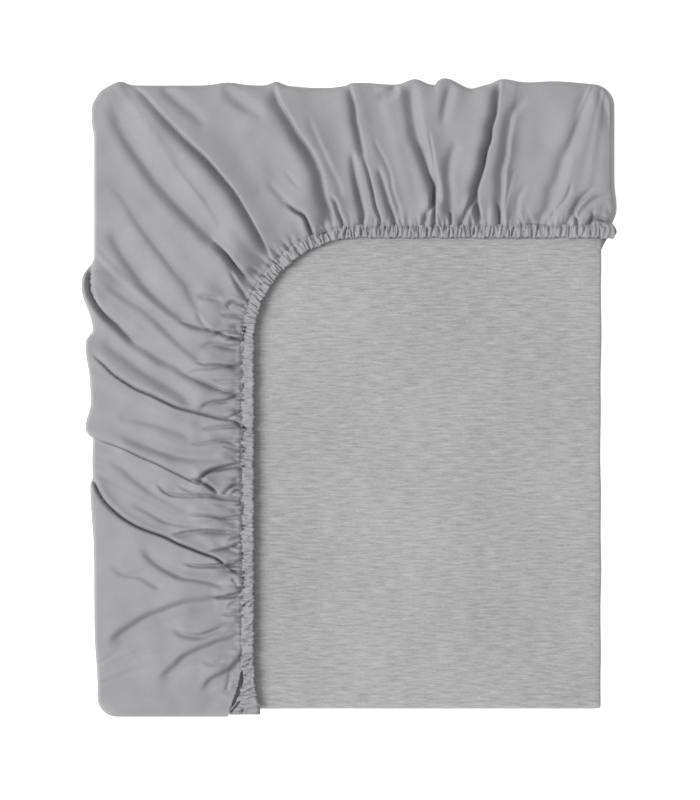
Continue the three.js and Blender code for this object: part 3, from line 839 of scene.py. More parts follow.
@dataclass(frozen=True)
class SmoothWeaveFinish:
    """Plain grey cloth of a fine smooth weave with a soft sheen."""

    name: str
    light: tuple[float, float, float, float]
    dark: tuple[float, float, float, float]
    roughness: float = 0.9

    def material(self) -> bpy.types.Material:
        """Builds the material."""
        material, nodes = new_material(self.name)
        place = nodes.add("ShaderNodeTexCoord").outputs["Object"]
        broad = nodes.add("ShaderNodeTexNoise", {"Vector": place, "Scale": 34, "Detail": 4,
                                                 "Roughness": 0.55})
        fine = nodes.add("ShaderNodeTexNoise", {"Vector": place, "Scale": 900, "Detail": 2})
        shade = nodes.add("ShaderNodeMix", {"Factor": 0.4, 2: broad.outputs[0],
                                            3: fine.outputs[0]})
        ramp = nodes.add("ShaderNodeValToRGB", {"Fac": shade.outputs[0]})
        ramp.color_ramp.elements[0].position, ramp.color_ramp.elements[1].position = 0.35, 0.65
        ramp.color_ramp.elements[0].color = self.dark
        ramp.color_ramp.elements[1].color = self.light
        warp = nodes.add("ShaderNodeTexWave", {"Vector": place, "Scale": 420, "Distortion": 0.6,
                                               "Detail": 1}, bands_direction="X")
        weft = nodes.add("ShaderNodeTexWave", {"Vector": place, "Scale": 420, "Distortion": 0.6,
                                               "Detail": 1}, bands_direction="Y")
        weave = nodes.add("ShaderNodeMix", {"Factor": 0.5, 2: warp.outputs["Fac"],
                                            3: weft.outputs["Fac"]})
        height = nodes.add("ShaderNodeMix", {"Factor": 0.6, 2: weave.outputs[0],
                                             3: fine.outputs[0]})
        bump = nodes.add("ShaderNodeBump", {"Strength": 0.35, "Distance": 0.00012,
                                            "Height": height.outputs[0]})
        rumple = nodes.add("ShaderNodeTexNoise", {"Vector": place, "Scale": 120, "Detail": 3})
        crumple = nodes.add("ShaderNodeBump", {"Strength": 0.3, "Distance": 0.0006,
                                               "Height": rumple.outputs[0],
                                               "Normal": bump.outputs[0]})
        cloth = nodes.add("ShaderNodeBsdfPrincipled", {
            "Base Color": ramp.outputs[0], "Roughness": self.roughness,
            "Specular IOR Level": 0.1, "Sheen Weight": 0.0,
            "Normal": crumple.outputs[0]})
        nodes.add("ShaderNodeOutputMaterial", {"Surface": cloth.outputs[0]})
        return material


SKIRT_FINISH = SmoothWeaveFinish("skirt_weave", (0.36, 0.356, 0.371, 1), (0.321, 0.317, 0.332, 1))
HEM_FINISH = SmoothWeaveFinish("hem_weave", (0.362, 0.358, 0.374, 1), (0.314, 0.31, 0.326, 1))
THREAD_FINISH = SmoothWeaveFinish("sewing_thread", (0.30, 0.298, 0.31, 1),
                                  (0.24, 0.238, 0.25, 1), 0.5)


@dataclass(frozen=True)
class GatherKind:
    """One kind of gather at the hem: its spacing, its reach from the stitches and its size."""

    pitch: float
    shortest: float
    longest: float
    width: float
    softer: float
    depth: float


GATHERS = (
    GatherKind(8.5, 12, 28, 1.0, 3.2, 2.0),
    GatherKind(4.4, 5, 14, 0.8, 2.0, 1.4),
    GatherKind(2.5, 2.5, 7, 0.55, 1.2, 0.8),
)


@dataclass(frozen=True)
class Gathers:
    """The short gathers that fan out from the stitches and run on over the casing."""

    hem: HemLine
    kinds: tuple[GatherKind, ...] = GATHERS
    dimple: float = 0.3
    swell: float = 1.7
    swell_reach: float = 11.0
    strengths: tuple[float, ...] = (1.5, 1.7, 1.1, 1.0, 0.75)
    calm_after: tuple[float, float] = (90, 110)
    slant_spread: float = 0.16
    curve_spread: float = 0.004
    window: float = 14.0
    widening: float = 18.0
    dimple_reach: float = 1.1
    shallow: float = 0.65
    shallow_reach: float = 5.0
    seed: int = 11

    def strength(self, place: float) -> float:
        """Gives how deep the gathers are at a place along the hem."""
        run, bend, _ = self.hem.lengths
        turned = run + bend
        places = [0, run, turned, *(turned + calm for calm in self.calm_after)]
        return float(np.interp(place, places, self.strengths))

    def relief(self, along: np.ndarray, away: np.ndarray) -> np.ndarray:
        """Gives the gathers' relief.

        Args:
            along: Length along the hem of the place nearest to each place.
            away: Each place's distance from the stitches, negative on the casing.

        Returns:
            Heights to add.
        """
        rng = np.random.default_rng(self.seed)
        relief = np.zeros(along.shape)
        for kind in self.kinds:
            place = 1.0
            while place < self.hem.length:
                place += kind.pitch * rng.uniform(0.5, 1.5)
                reach = kind.shortest + (kind.longest - kind.shortest) * rng.random() ** 1.6
                onto = self.hem.width * rng.uniform(0.2, 1.1)
                width = kind.width * rng.uniform(0.75, 1.3)
                depth = kind.depth * rng.uniform(0.5, 1.4) * self.strength(place)
                slant, curve = rng.normal(0, self.slant_spread), rng.normal(
                    0, self.curve_spread)
                near = (np.abs(along - place) < self.window) & (away < reach) & (away > -onto)
                far = away[near]
                offset = along[near] - place - slant * far - curve * far**2
                spread = width * (1 + np.maximum(far, 0) / self.widening) * np.where(
                    offset > 0, 1.0, kind.softer)
                fade = smooth(reach, 0.1 * reach, far) * smooth(-onto, -0.2 * onto, far)
                fade = fade * (self.shallow + (1 - self.shallow) * smooth(
                    0, self.shallow_reach, np.abs(far)))
                fade = fade * (1 + self.dimple * np.exp(-((far / self.dimple_reach) ** 2)))
                relief[near] -= depth * fade * np.exp(-((np.abs(offset) / spread) ** 1.5))
        return relief + self.swell * np.exp(-((away / self.swell_reach) ** 2))


@dataclass(frozen=True)
class EdgeShape:
    """How the skirt comes down at its edge, where that faces one way.

    Before the cloth rolls over, within roll of the edge, it sags by sag over about reach.
    """

    out_x: float
    out_y: float
    roll: float
    sag: float
    reach: float


EDGES = (
    EdgeShape(-1, 0, 2.4, 0.8, 4.0),
    EdgeShape(0, 1, 4.0, 2.4, 6.0),
    EdgeShape(1, 0, 5.0, 3.8, 6.0),
    EdgeShape(0, -1, 4.0, 5.4, 4.5),
)


@dataclass
class SkirtCloth:
    """The skirt from the seam on the floor over its rolled edge to the hem's stitches."""

    outline: SkirtOutline
    hem: HemLine
    stack: Stack
    gathers: Gathers
    thickness: float = 1.2
    clearance: float = 0.35
    roll_height: float = 9.0
    edges: tuple[EdgeShape, ...] = EDGES
    stitch_rise: float = 4.9
    crown: float = 5.6
    crown_reach: float = 26.0
    crown_power: float = 1.6
    rumple_reach: float = 20.0
    seam_share: float = 0.8
    seam_reach: float = 9.0
    loose_share: float = 0.3
    groove_depth: float = 0.3
    groove_width: float = 1.0
    tail_drop: float = 1.3
    thin: float = 0.8
    under_hem: float = 1.6
    hem_weight: float = 1.6
    columns: int = 1010
    rows: int = 78
    crowding: float = 0.35
    inner_columns: int = 3
    inner_rows: int = 6
    turn_inset: float = 4.0
    turn_steps: int = 5
    seam_gap: float = 0.6
    seam_flap: float = 0.8
    seed: int = 11
    end_shares: tuple[float, ...] = (0.03, 0.1, 0.22, 0.42, 0.68)

    def rib_grid(self) -> tuple[np.ndarray, np.ndarray, np.ndarray]:
        """Lays out the ribs from the edge to the hem's stitches.

        Returns:
            The grid's x and y, one row for each column of cloth, and each column's place
            along the hem.
        """
        edge = self.outline.edge()
        steps = np.hypot(*np.diff(edge, axis=0).T)
        edge_length = np.concatenate([[0], np.cumsum(steps)])
        edge_at = [edge_length[np.argmin(np.hypot(*(edge - rib.edge).T))] for rib in RIBS]
        edge_at[0], edge_at[-1] = 0.0, edge_length[-1]
        hem_at = [self.hem.along(*rib.hem) for rib in RIBS]
        hem_at[0], hem_at[-1] = 0.0, self.hem.length
        spans = [max(b - a, self.hem_weight * (d - c), 1.0) for a, b, c, d in
                 zip(edge_at, edge_at[1:], hem_at, hem_at[1:])]
        stations = np.concatenate([[0], np.cumsum(spans)])
        wanted = np.linspace(0, stations[-1], self.columns)
        first, last = wanted[1], wanted[-1] - wanted[-2]
        wanted = np.concatenate([[0], first * np.array(self.end_shares), wanted[1:-1],
                                 wanted[-1] - last * np.array(self.end_shares[::-1]),
                                 wanted[-1:]])
        edge_place = np.interp(wanted, stations, edge_at)
        hem_place = np.interp(wanted, stations, hem_at)
        bow = np.interp(wanted, stations, [rib.bow for rib in RIBS])
        ex, ey = (np.interp(edge_place, edge_length, edge[:, k]) for k in range(2))
        hx, hy, out_x, out_y = self.hem.place(hem_place)
        rise = self.hem.width + self.hem.flare(hy, self.hem.flare_out)
        rise = rise - self.under_hem * (1 - self.hem.parted(hy))
        hx, hy = hx + out_x * rise, hy + out_y * rise
        near = np.array([0, 0.5, 1.1, 1.9, 2.9, 4.1, 5.6, 7.4, 9.5])
        length = np.hypot(hx - ex, hy - ey)
        rest = np.linspace(0, 1, self.rows - len(near) + 1)[1:]
        rest = rest + self.crowding * rest * (1 - rest)
        places = np.concatenate([
            np.repeat(near[None, :], len(length), axis=0),
            near[-1] + rest[None, :] * (length[:, None] - near[-1])], axis=1)
        share = places / length[:, None]
        dx, dy = (hx - ex)[:, None], (hy - ey)[:, None]
        arch = bow[:, None] * 4 * share * (1 - share) / length[:, None]
        x = ex[:, None] + dx * share - dy * arch
        y = ey[:, None] + dy * share + dx * arch
        for k in (0, -1):
            for _ in range(3):
                nx, ny = self.outline.outward(x[k], y[k])
                inset = self.outline.inset(x[k], y[k])
                x[k], y[k] = x[k] + nx * inset, y[k] + ny * inset
        return x, y, hem_place

    def rumples(self, x: np.ndarray, y: np.ndarray, along: np.ndarray) -> np.ndarray:
        """Makes the soft unevenness of the whole skirt.

        Args:
            x: Places across.
            y: Places along.
            along: Each place's length along the hem.

        Returns:
            Heights to add.
        """
        rng = np.random.default_rng(self.seed + 1)
        relief = np.zeros(x.shape)
        for size, height, count in ((70, 0.6, 5), (34, 0.4, 8), (17, 0.12, 10)):
            for _ in range(count):
                angle, phase = rng.uniform(0, math.tau, 2)
                wave = math.tau / (size * rng.uniform(0.7, 1.4))
                relief += height / math.sqrt(count) * np.sin(
                    wave * (x * math.cos(angle) + y * math.sin(angle)) + phase)
        for size, height in ((19, 0.2), (12, 0.1)):
            phase = rng.uniform(0, math.tau)
            relief += height * np.sin(math.tau * along / size + phase + np.sin(x / 23 + y / 31))
        return relief

    def draped(self, x: np.ndarray, y: np.ndarray,
               along: np.ndarray) -> tuple[np.ndarray, np.ndarray, np.ndarray]:
        """Lays the skirt's upper face, before it rolls over its edge.

        Args:
            x: Places across.
            y: Places along.
            along: Each place's length along the hem.

        Returns:
            How far the cloth moves across and along at its creases, and its heights.
        """
        flare = self.hem.flare(y, self.hem.flare_out)
        beyond = self.hem.distance(x, y) - self.hem.width - flare
        away = np.maximum(beyond, 0)
        base = self.stack.height + self.stitch_rise
        smooth_cloth = base + self.crown * (
            1 - np.exp(-((away / self.crown_reach) ** self.crown_power)))
        moved = np.zeros((3, *x.shape))
        for crease in CREASES:
            crease.press(x, y, moved)
        relief = moved[2] + self.rumples(x, y, along) * smooth(
            0, self.rumple_reach, away)
        relief = relief * (self.seam_share + (1 - self.seam_share) * smooth(
            0, self.seam_reach, away))
        joined = 1 - self.hem.parted(y)
        relief = relief + self.gathers.relief(self.hem.nearest(x, y), away) * (
            self.loose_share + (1 - self.loose_share) * joined)
        relief = relief - joined * self.groove_depth * np.exp(
            -((away / self.groove_width) ** 2))
        relief = relief - joined * self.tail_drop * smooth(0.2, -0.9, beyond)
        lowest = self.stack.height + self.clearance + self.thin
        height = smooth_cloth + relief
        spare = height - lowest
        still = smooth(0, 2, away) * smooth(0.5, 4, self.outline.inset(x, y))
        return (moved[0] * still, moved[1] * still,
                lowest + np.where(spare > 1, spare, np.exp(np.minimum(spare, 1) - 1)))

    def edge_fall(self, out_x: np.ndarray, out_y: np.ndarray,
                  inset: np.ndarray) -> tuple[np.ndarray, np.ndarray]:
        """Gives how the cloth comes down near its edge.

        Args:
            out_x: Direction out of the edge, across.
            out_y: Direction out of the edge, along.
            inset: Distance inside the edge.

        Returns:
            How far in the roll starts, and how much the cloth sags.
        """
        roll, sag = np.zeros(inset.shape), np.zeros(inset.shape)
        for edge in self.edges:
            facing = np.maximum(0, out_x * edge.out_x + out_y * edge.out_y) ** 2
            roll += facing * edge.roll
            sag += facing * edge.sag * np.exp(-inset / edge.reach)
        return roll, sag

    def build(self, finish: bpy.types.Material) -> bpy.types.Object:
        """Builds the skirt as a closed thin sheet, its inner face sparser than its outer.

        Args:
            finish: Its material.

        Returns:
            The skirt.
        """
        x, y, hem_place = self.rib_grid()
        along = np.repeat(hem_place[:, None], x.shape[1], axis=1)
        out_x, out_y = self.outline.outward(x, y)
        inset = np.maximum(0, self.outline.inset(x, y))
        inset[0, :], inset[-1, :], inset[:, 0] = 0, 0, 0
        roll, sag = self.edge_fall(out_x, out_y, inset)
        lean = 1 - np.minimum(1, inset / roll)
        rise = np.sqrt(1 - lean**2)
        move_x, move_y, height = self.draped(x, y, along)
        z = self.roll_height + (height - sag - self.roll_height) * rise
        outer = np.stack([x + move_x, y + move_y, z], axis=2)

        lowest = z.copy()
        for shift in range(1, self.inner_rows + 1):
            lowest[:, shift:] = np.minimum(lowest[:, shift:], z[:, :-shift])
            lowest[:, :-shift] = np.minimum(lowest[:, :-shift], z[:, shift:])
        wide = lowest.copy()
        for shift in range(1, self.inner_columns + 1):
            wide[shift:] = np.minimum(wide[shift:], lowest[:-shift])
            wide[:-shift] = np.minimum(wide[:-shift], lowest[shift:])
        under = np.where(lean > 0, z - self.thickness * rise, wide - self.thin)
        floor = self.stack.height + self.clearance
        under = np.where(lean > 0, under, np.maximum(under, floor))
        inner = np.stack([x - out_x * lean * self.thickness,
                          y - out_y * lean * self.thickness, under], axis=2)

        columns, rows = x.shape
        ends = list(range(len(self.end_shares) + 1))
        some_columns = sorted({*ends, *range(0, columns, self.inner_columns),
                               *(columns - 1 - k for k in ends)})
        some_rows = sorted({0, 1, 2, 3, 5, 7, *range(8, rows, self.inner_rows), rows - 1})
        points = [outer.reshape(-1, 3), inner[np.ix_(some_columns, some_rows)].reshape(-1, 3)]
        top = np.arange(columns * rows).reshape(columns, rows)
        under_grid = columns * rows + np.arange(len(some_columns) * len(some_rows)).reshape(
            len(some_columns), len(some_rows))
        faces = [*self.grid_faces(top), *self.grid_faces(under_grid)]

        count = sum(len(p) for p in points)
        loops = []
        for grid, offset, is_inner in ((top, 0.0, False), (under_grid, self.thickness, True)):
            rim = np.concatenate([grid[0, :0:-1], grid[:, 0], grid[-1, 1:]])
            at_columns = np.arange(columns) if not is_inner else np.array(some_columns)
            at_rows = np.arange(rows) if not is_inner else np.array(some_rows)
            place_c = np.concatenate([np.zeros(len(at_rows) - 1, int), at_columns,
                                      np.full(len(at_rows) - 1, columns - 1)])
            place_r = np.concatenate([at_rows[:0:-1], np.zeros(len(at_columns), int), at_rows[1:]])
            rim_rows, new = self.turned_under(outer[place_c, place_r], out_x[place_c, place_r],
                                              out_y[place_c, place_r], offset, count)
            points.append(new)
            count += len(new)
            rim_rows = [rim, *rim_rows]
            for a, b in zip(rim_rows, rim_rows[1:]):
                faces += [[a[k], a[k + 1], b[k + 1], b[k]] for k in range(len(a) - 1)]
            loops.append((grid, rim_rows))
        (outer_grid, outer_rim), (inner_grid, inner_rim) = loops
        all_points = np.vstack(points)
        faces += zip_faces(all_points, outer_grid[:, -1], inner_grid[:, -1])
        faces += zip_faces(all_points, outer_rim[-1], inner_rim[-1])
        for side in (0, -1):
            faces += [[a[side], b[side], d[side], c[side]] for a, b, c, d in
                      zip(outer_rim, outer_rim[1:], inner_rim, inner_rim[1:])]
        faces = [[int(v) for v in face] for face in faces]
        return make_piece("skirt_cloth", all_points, faces, finish)

    @staticmethod
    def grid_faces(grid: np.ndarray) -> list:
        """Makes the faces between the corners of a grid."""
        return np.stack([grid[:-1, :-1], grid[:-1, 1:], grid[1:, 1:], grid[1:, :-1]],
                        axis=-1).reshape(-1, 4).tolist()

    def turned_under(self, rim: np.ndarray, out_x: np.ndarray, out_y: np.ndarray,
                     thickness: float, count: int) -> tuple[list, np.ndarray]:
        """Takes the edge down to the floor and in to the seam.

        Args:
            rim: Points of the outline on the cloth's outer face.
            out_x: Direction out of the outline, across.
            out_y: Direction out of the outline, along.
            thickness: How far inside the outer face the rows lie.
            count: Number that the first new point gets.

        Returns:
            Rows of point numbers, and the points.
        """
        room = self.stack.distance(rim[:, 0], rim[:, 1]) - self.seam_gap
        turn = np.minimum(self.turn_inset, room - self.seam_flap)
        rows, points = [], []
        for k in range(1, self.turn_steps + 2):
            angle = math.pi / 2 * min(1, k / self.turn_steps)
            inset = room if k > self.turn_steps else turn * (1 - math.cos(angle))
            height = self.roll_height * (1 - math.sin(angle))
            inward = inset + thickness * math.cos(angle)
            if k > self.turn_steps:
                inward = room
            points.append(np.stack([rim[:, 0] - out_x * inward, rim[:, 1] - out_y * inward,
                                    np.full(len(rim), height + thickness * math.sin(angle))],
                                   axis=1))
            rows.append(np.arange(count, count + len(rim)))
            count += len(rim)
        return rows, np.vstack(points)


def zip_faces(points: np.ndarray, one: np.ndarray, other: np.ndarray) -> list:
    """Joins two rows of different numbers of points with triangles.

    Args:
        points: All the points.
        one: Numbers of the points in one row.
        other: Numbers of the points in the other row, which starts and ends beside it.

    Returns:
        The triangles.
    """
    def shares(row: np.ndarray) -> np.ndarray:
        """Gives each point's share of its row's length."""
        steps = np.linalg.norm(np.diff(points[row], axis=0), axis=1)
        length = np.concatenate([[0], np.cumsum(steps)])
        return length / length[-1]

    at_one, at_other = shares(one), shares(other)
    faces, i, j = [], 0, 0
    while i < len(one) - 1 or j < len(other) - 1:
        if j == len(other) - 1 or (i < len(one) - 1 and at_one[i + 1] <= at_other[j + 1]):
            faces.append([one[i], one[i + 1], other[j]])
            i += 1
        else:
            faces.append([one[i], other[j + 1], other[j]])
            j += 1
    return faces


@dataclass(frozen=True)
class RuffleZone:
    """A stretch of the hem with its own ruffles.

    end is where it ends along the hem, pitch the spacing of the grooves between ruffles,
    slant how far they lean along the hem over its width, spread how much that varies, and
    groove and depth their half width and depth.
    """

    end: float
    pitch: float
    slant: float
    spread: float
    groove: float
    depth: float


RUFFLE_ZONES = (
    RuffleZone(90, 1.9, -5.0, 1.4, 0.7, 2.2),
    RuffleZone(130, 1.7, -2.5, 1.4, 0.6, 1.9),
    RuffleZone(296, 1.6, 0.0, 1.3, 0.5, 1.7),
    RuffleZone(428, 1.7, 0.5, 2.0, 0.55, 1.9),
    RuffleZone(552, 1.8, 1.2, 1.5, 0.5, 1.9),
    RuffleZone(640, 3.4, 1.2, 1.2, 0.65, 1.5),
)


@dataclass
class HemCasing:
    """The ruched casing of the elastic, one band from the skirt's stitches to its own edge."""

    hem: HemLine
    stack: Stack
    gathers: Gathers
    base_gap: float = 0.4
    stitch_height: float = 4.9
    crown: float = 2.9
    groove_depth: float = 0.3
    opening: tuple[tuple[float, float], ...] = (
        (-254, -1.0), (-249.5, -0.6), (-247, 1.8), (-244, 2.4), (-240, 2.8), (-236, 4.0),
        (-233, 2.2), (-231, 2.6), (-228, 3.8), (-224, 3.0), (-219, 1.4), (-216, -0.4))
    slits: tuple[Crease, ...] = (
        Crease(((-86, -242), (-89, -245), (-91, -248), (-94, -251)), 0.9, 1.0, 5.0, 1, 1),
        Crease(((-84.5, -247), (-85, -250), (-85.5, -254)), 0.8, 0.8, 4.5, 1, 1))
    end_flap: tuple[tuple[float, float], ...] = (
        (197.4, 127.5), (206.4, 127.5), (203.2, 121.5), (200.4, 115.0))
    wall_share: float = 0.1
    wobble: float = 0.3
    wobble_sizes: tuple[float, ...] = (0.6, 1.1, 2.3, 4.1)
    bump: float = 0.22
    bump_shapes: tuple[tuple[float, float], ...] = ((0.75, 1.0), (1.2, -2.2), (0.5, 3.1))
    under_rows: int = 4
    under_margin: float = 0.06
    step: float = 0.37
    rows: int = 27
    tip: float = 3.0
    tip_reach: float = 12.0
    edge_drop: float = 0.6
    least_height: float = 0.9
    ruffle_window: float = 12.0
    bend_spread: float = 1.2
    seed: int = 5

    def ruffles(self, along: np.ndarray, across: np.ndarray) -> np.ndarray:
        """Gives the relief of the ruffles.

        Args:
            along: Places along the hem.
            across: Places across it, 0 at the stitches and 1 at its own edge.

        Returns:
            Heights to add, negative in a groove.
        """
        rng = np.random.default_rng(self.seed)
        relief = np.zeros(along.shape)
        place, zone = 0.0, 0
        while place < self.hem.length + 8:
            now = RUFFLE_ZONES[zone]
            place += now.pitch * rng.uniform(0.4, 1.6)
            if place > now.end and zone + 1 < len(RUFFLE_ZONES):
                zone += 1
            slant, bend = rng.normal(now.slant, now.spread), rng.normal(0, self.bend_spread)
            groove = now.groove * rng.uniform(0.7, 1.4)
            depth = now.depth * rng.uniform(0.35, 1.35)
            middle, half = rng.uniform(-0.1, 1.1), rng.uniform(0.35, 0.9)
            near = np.abs(along - place) < self.ruffle_window
            aside = across[near] - middle
            offset = along[near] - place + slant * aside - bend * aside**2
            fade = smooth(1, 0.5, np.abs(aside) / half)
            relief[near] -= depth * fade * np.exp(-((np.abs(offset) / groove) ** 1.4))
        return relief

    def build(self, finish: bpy.types.Material) -> bpy.types.Object:
        """Builds the casing as one closed band.

        Args:
            finish: Its material.

        Returns:
            The casing.
        """
        rng = np.random.default_rng(self.seed + 1)
        count = int(self.hem.length / self.step)
        along = np.linspace(0, self.hem.length, count)
        x, y, out_x, out_y = self.hem.place(along)
        wobble = sum(self.wobble * np.sin(along / size + rng.uniform(0, math.tau))
                     for size in self.wobble_sizes)
        inner = wobble - self.hem.flare(y, self.hem.flare_in)
        outer = self.hem.width + self.hem.flare(y, self.hem.flare_out) - np.interp(
            y, *np.array(self.opening).T, right=-0.4)
        across = (1 - np.cos(np.linspace(0, math.pi, self.rows))) / 2
        reach = outer[:, None] + (inner - outer)[:, None] * across[None, :]
        grid_along = np.repeat(along[:, None], self.rows, axis=1)
        grid_across = np.repeat(across[None, :], count, axis=0)
        bottom = self.stack.height + self.base_gap
        start = self.stack.height + self.stitch_height
        arch = 0.5 * smooth(0.02, 0.35, grid_across) + 0.5 * smooth(0.1, 0.9, grid_across)
        corner = np.clip((grid_across - 1 + self.wall_share) / self.wall_share, 0, 1)
        inward = (outer[:, None] - reach) - 0.4
        bumps = sum(self.bump * np.sin(grid_along / size + grid_across * turn + turn)
                    for size, turn in self.bump_shapes)
        top = start + self.crown * arch - self.groove_depth * smooth(0.12, 0, grid_across)
        top = top + self.gathers.relief(grid_along, np.minimum(-inward, 0))
        top = top + self.ruffles(grid_along, grid_across) * smooth(0.02, 0.3, grid_across)
        top = top + bumps * smooth(0, 0.3, grid_across)
        top = top - self.edge_drop * smooth(0.2, -0.3, inward)
        pressed = np.zeros((3, *top.shape))
        for slit in self.slits:
            slit.press(x[:, None] + out_x[:, None] * reach, y[:, None] + out_y[:, None] * reach,
                       pressed)
        top = np.maximum(top + pressed[2], bottom + self.least_height)
        top = bottom + 0.6 + (top - bottom - 0.6) * np.sqrt(1 - corner**2)
        tip_x = np.zeros((count, self.rows))
        near_tip = smooth(self.hem.length - self.tip_reach, self.hem.length, grid_along)
        tip_x += self.tip * near_tip * (1 - (np.abs(grid_across - 0.55) / 0.55) ** 1.5)
        px = x[:, None] + out_x[:, None] * reach + tip_x
        py = y[:, None] + out_y[:, None] * reach
        under_share = np.linspace(1, 0, self.under_rows + 2)[1:-1]
        under_reach = outer[:, None] + (inner - outer)[:, None] * (
            self.under_margin + (1 - 2 * self.under_margin) * under_share[None, :])
        ux = x[:, None] + out_x[:, None] * under_reach
        uy = y[:, None] + out_y[:, None] * under_reach
        uz = np.full(ux.shape, bottom)
        points = np.stack([np.hstack([px, ux]), np.hstack([py, uy]), np.hstack([top, uz])], axis=2)
        around = self.rows + self.under_rows
        index = np.arange(count * around).reshape(count, around)
        following = np.roll(index, -1, axis=1)
        faces = np.stack([index[:-1], following[:-1], following[1:], index[1:]],
                         axis=-1).reshape(-1, 4).tolist()
        faces += [index[0].tolist(), index[-1][::-1].tolist()]
        corners = len(self.end_flap)
        flap = [[*corner, bottom + rise] for rise in (0.2, 1.0) for corner in self.end_flap]
        low, high = (list(range(index.size + k, index.size + k + corners))
                     for k in (0, corners))
        faces += [low, high[::-1]]
        faces += [[low[k - 1], high[k - 1], high[k], low[k]] for k in range(corners)]
        return make_piece("hem_casing", np.vstack([points.reshape(-1, 3), flap]), faces, finish)


@dataclass
class StitchLine:
    """The stitches that close the casing, a thread's length apart."""

    hem: HemLine
    stack: Stack
    pitch: float = 2.1
    length: float = 1.3
    thread: float = 0.3
    height: float = 4.3
    start: float = 40.0

    def build(self, finish: bpy.types.Material) -> bpy.types.Object:
        """Sets stitches along the seam with geometry nodes.

        Args:
            finish: Their material.

        Returns:
            The stitches as one mesh.
        """
        along = np.linspace(self.start, self.hem.length - 1.0, 900)
        x, y, out_x, out_y = self.hem.place(along)
        reach = self.hem.width + self.hem.flare(y, self.hem.flare_out)
        points = np.stack([x + out_x * reach, y + out_y * reach,
                           np.full(len(x), self.stack.height + self.height)], axis=1)
        mesh = bpy.data.meshes.new("stitches")
        mesh.from_pydata(metres(points).tolist(), [(k, k + 1) for k in range(len(points) - 1)], [])
        line = bpy.data.objects.new("stitches", mesh)
        bpy.context.scene.collection.objects.link(line)
        tree = bpy.data.node_groups.new("stitch_line", "GeometryNodeTree")
        nodes = Nodes(tree)
        for name, kind, way in (("Seam", "NodeSocketGeometry", "INPUT"),
                                ("Pitch", "NodeSocketFloat", "INPUT"),
                                ("Stitch length", "NodeSocketFloat", "INPUT"),
                                ("Thread", "NodeSocketFloat", "INPUT"),
                                ("Seed", "NodeSocketInt", "INPUT"),
                                ("Stitches", "NodeSocketGeometry", "OUTPUT")):
            tree.interface.new_socket(name, in_out=way, socket_type=kind)
        given = nodes.add("NodeGroupInput")
        seam = nodes.add("GeometryNodeMeshToCurve", {"Mesh": given.outputs["Seam"]})
        spaced = nodes.add("GeometryNodeCurveToPoints", {"Curve": seam.outputs[0],
                                                         "Length": given.outputs["Pitch"]},
                           mode="LENGTH")
        round_end = nodes.add("GeometryNodeMeshUVSphere", {"Segments": 6, "Rings": 5,
                                                           "Radius": given.outputs["Thread"]})
        slim = nodes.add("ShaderNodeMath", {0: given.outputs["Stitch length"],
                                            1: given.outputs["Thread"]}, operation="DIVIDE")
        half = nodes.add("ShaderNodeMath", {0: slim.outputs[0], 1: 0.5}, operation="MULTIPLY")
        size = nodes.add("ShaderNodeCombineXYZ", {"X": 1, "Y": 1, "Z": half.outputs[0]})
        stitch = nodes.add("GeometryNodeTransform", {"Geometry": round_end.outputs[0],
                                                     "Scale": size.outputs[0]})
        jitter = nodes.add("FunctionNodeRandomValue", {2: 0.85, 3: 1.15,
                                                       "Seed": given.outputs["Seed"]},
                           data_type="FLOAT")
        placed = nodes.add("GeometryNodeInstanceOnPoints", {
            "Points": spaced.outputs["Points"], "Instance": stitch.outputs[0],
            "Rotation": spaced.outputs["Rotation"], "Scale": jitter.outputs[1]})
        real = nodes.add("GeometryNodeRealizeInstances", {0: placed.outputs[0]})
        dressed = nodes.add("GeometryNodeSetMaterial", {"Geometry": real.outputs[0],
                                                        "Material": finish})
        nodes.add("NodeGroupOutput", {"Stitches": dressed.outputs[0]})
        modifier = line.modifiers.new("stitch_line", "NODES")
        modifier.node_group = tree
        values = {"Pitch": self.pitch * MM, "Stitch length": self.length * MM,
                  "Thread": self.thread * MM, "Seed": 3}
        for item in tree.interface.items_tree:
            if item.in_out == "INPUT" and item.name in values:
                modifier[item.identifier] = values[item.name]
        shown = line.evaluated_get(bpy.context.evaluated_depsgraph_get())
        made = bpy.data.meshes.new_from_object(shown)
        line.modifiers.clear()
        line.data = made
        made.name = "stitches"
        return line


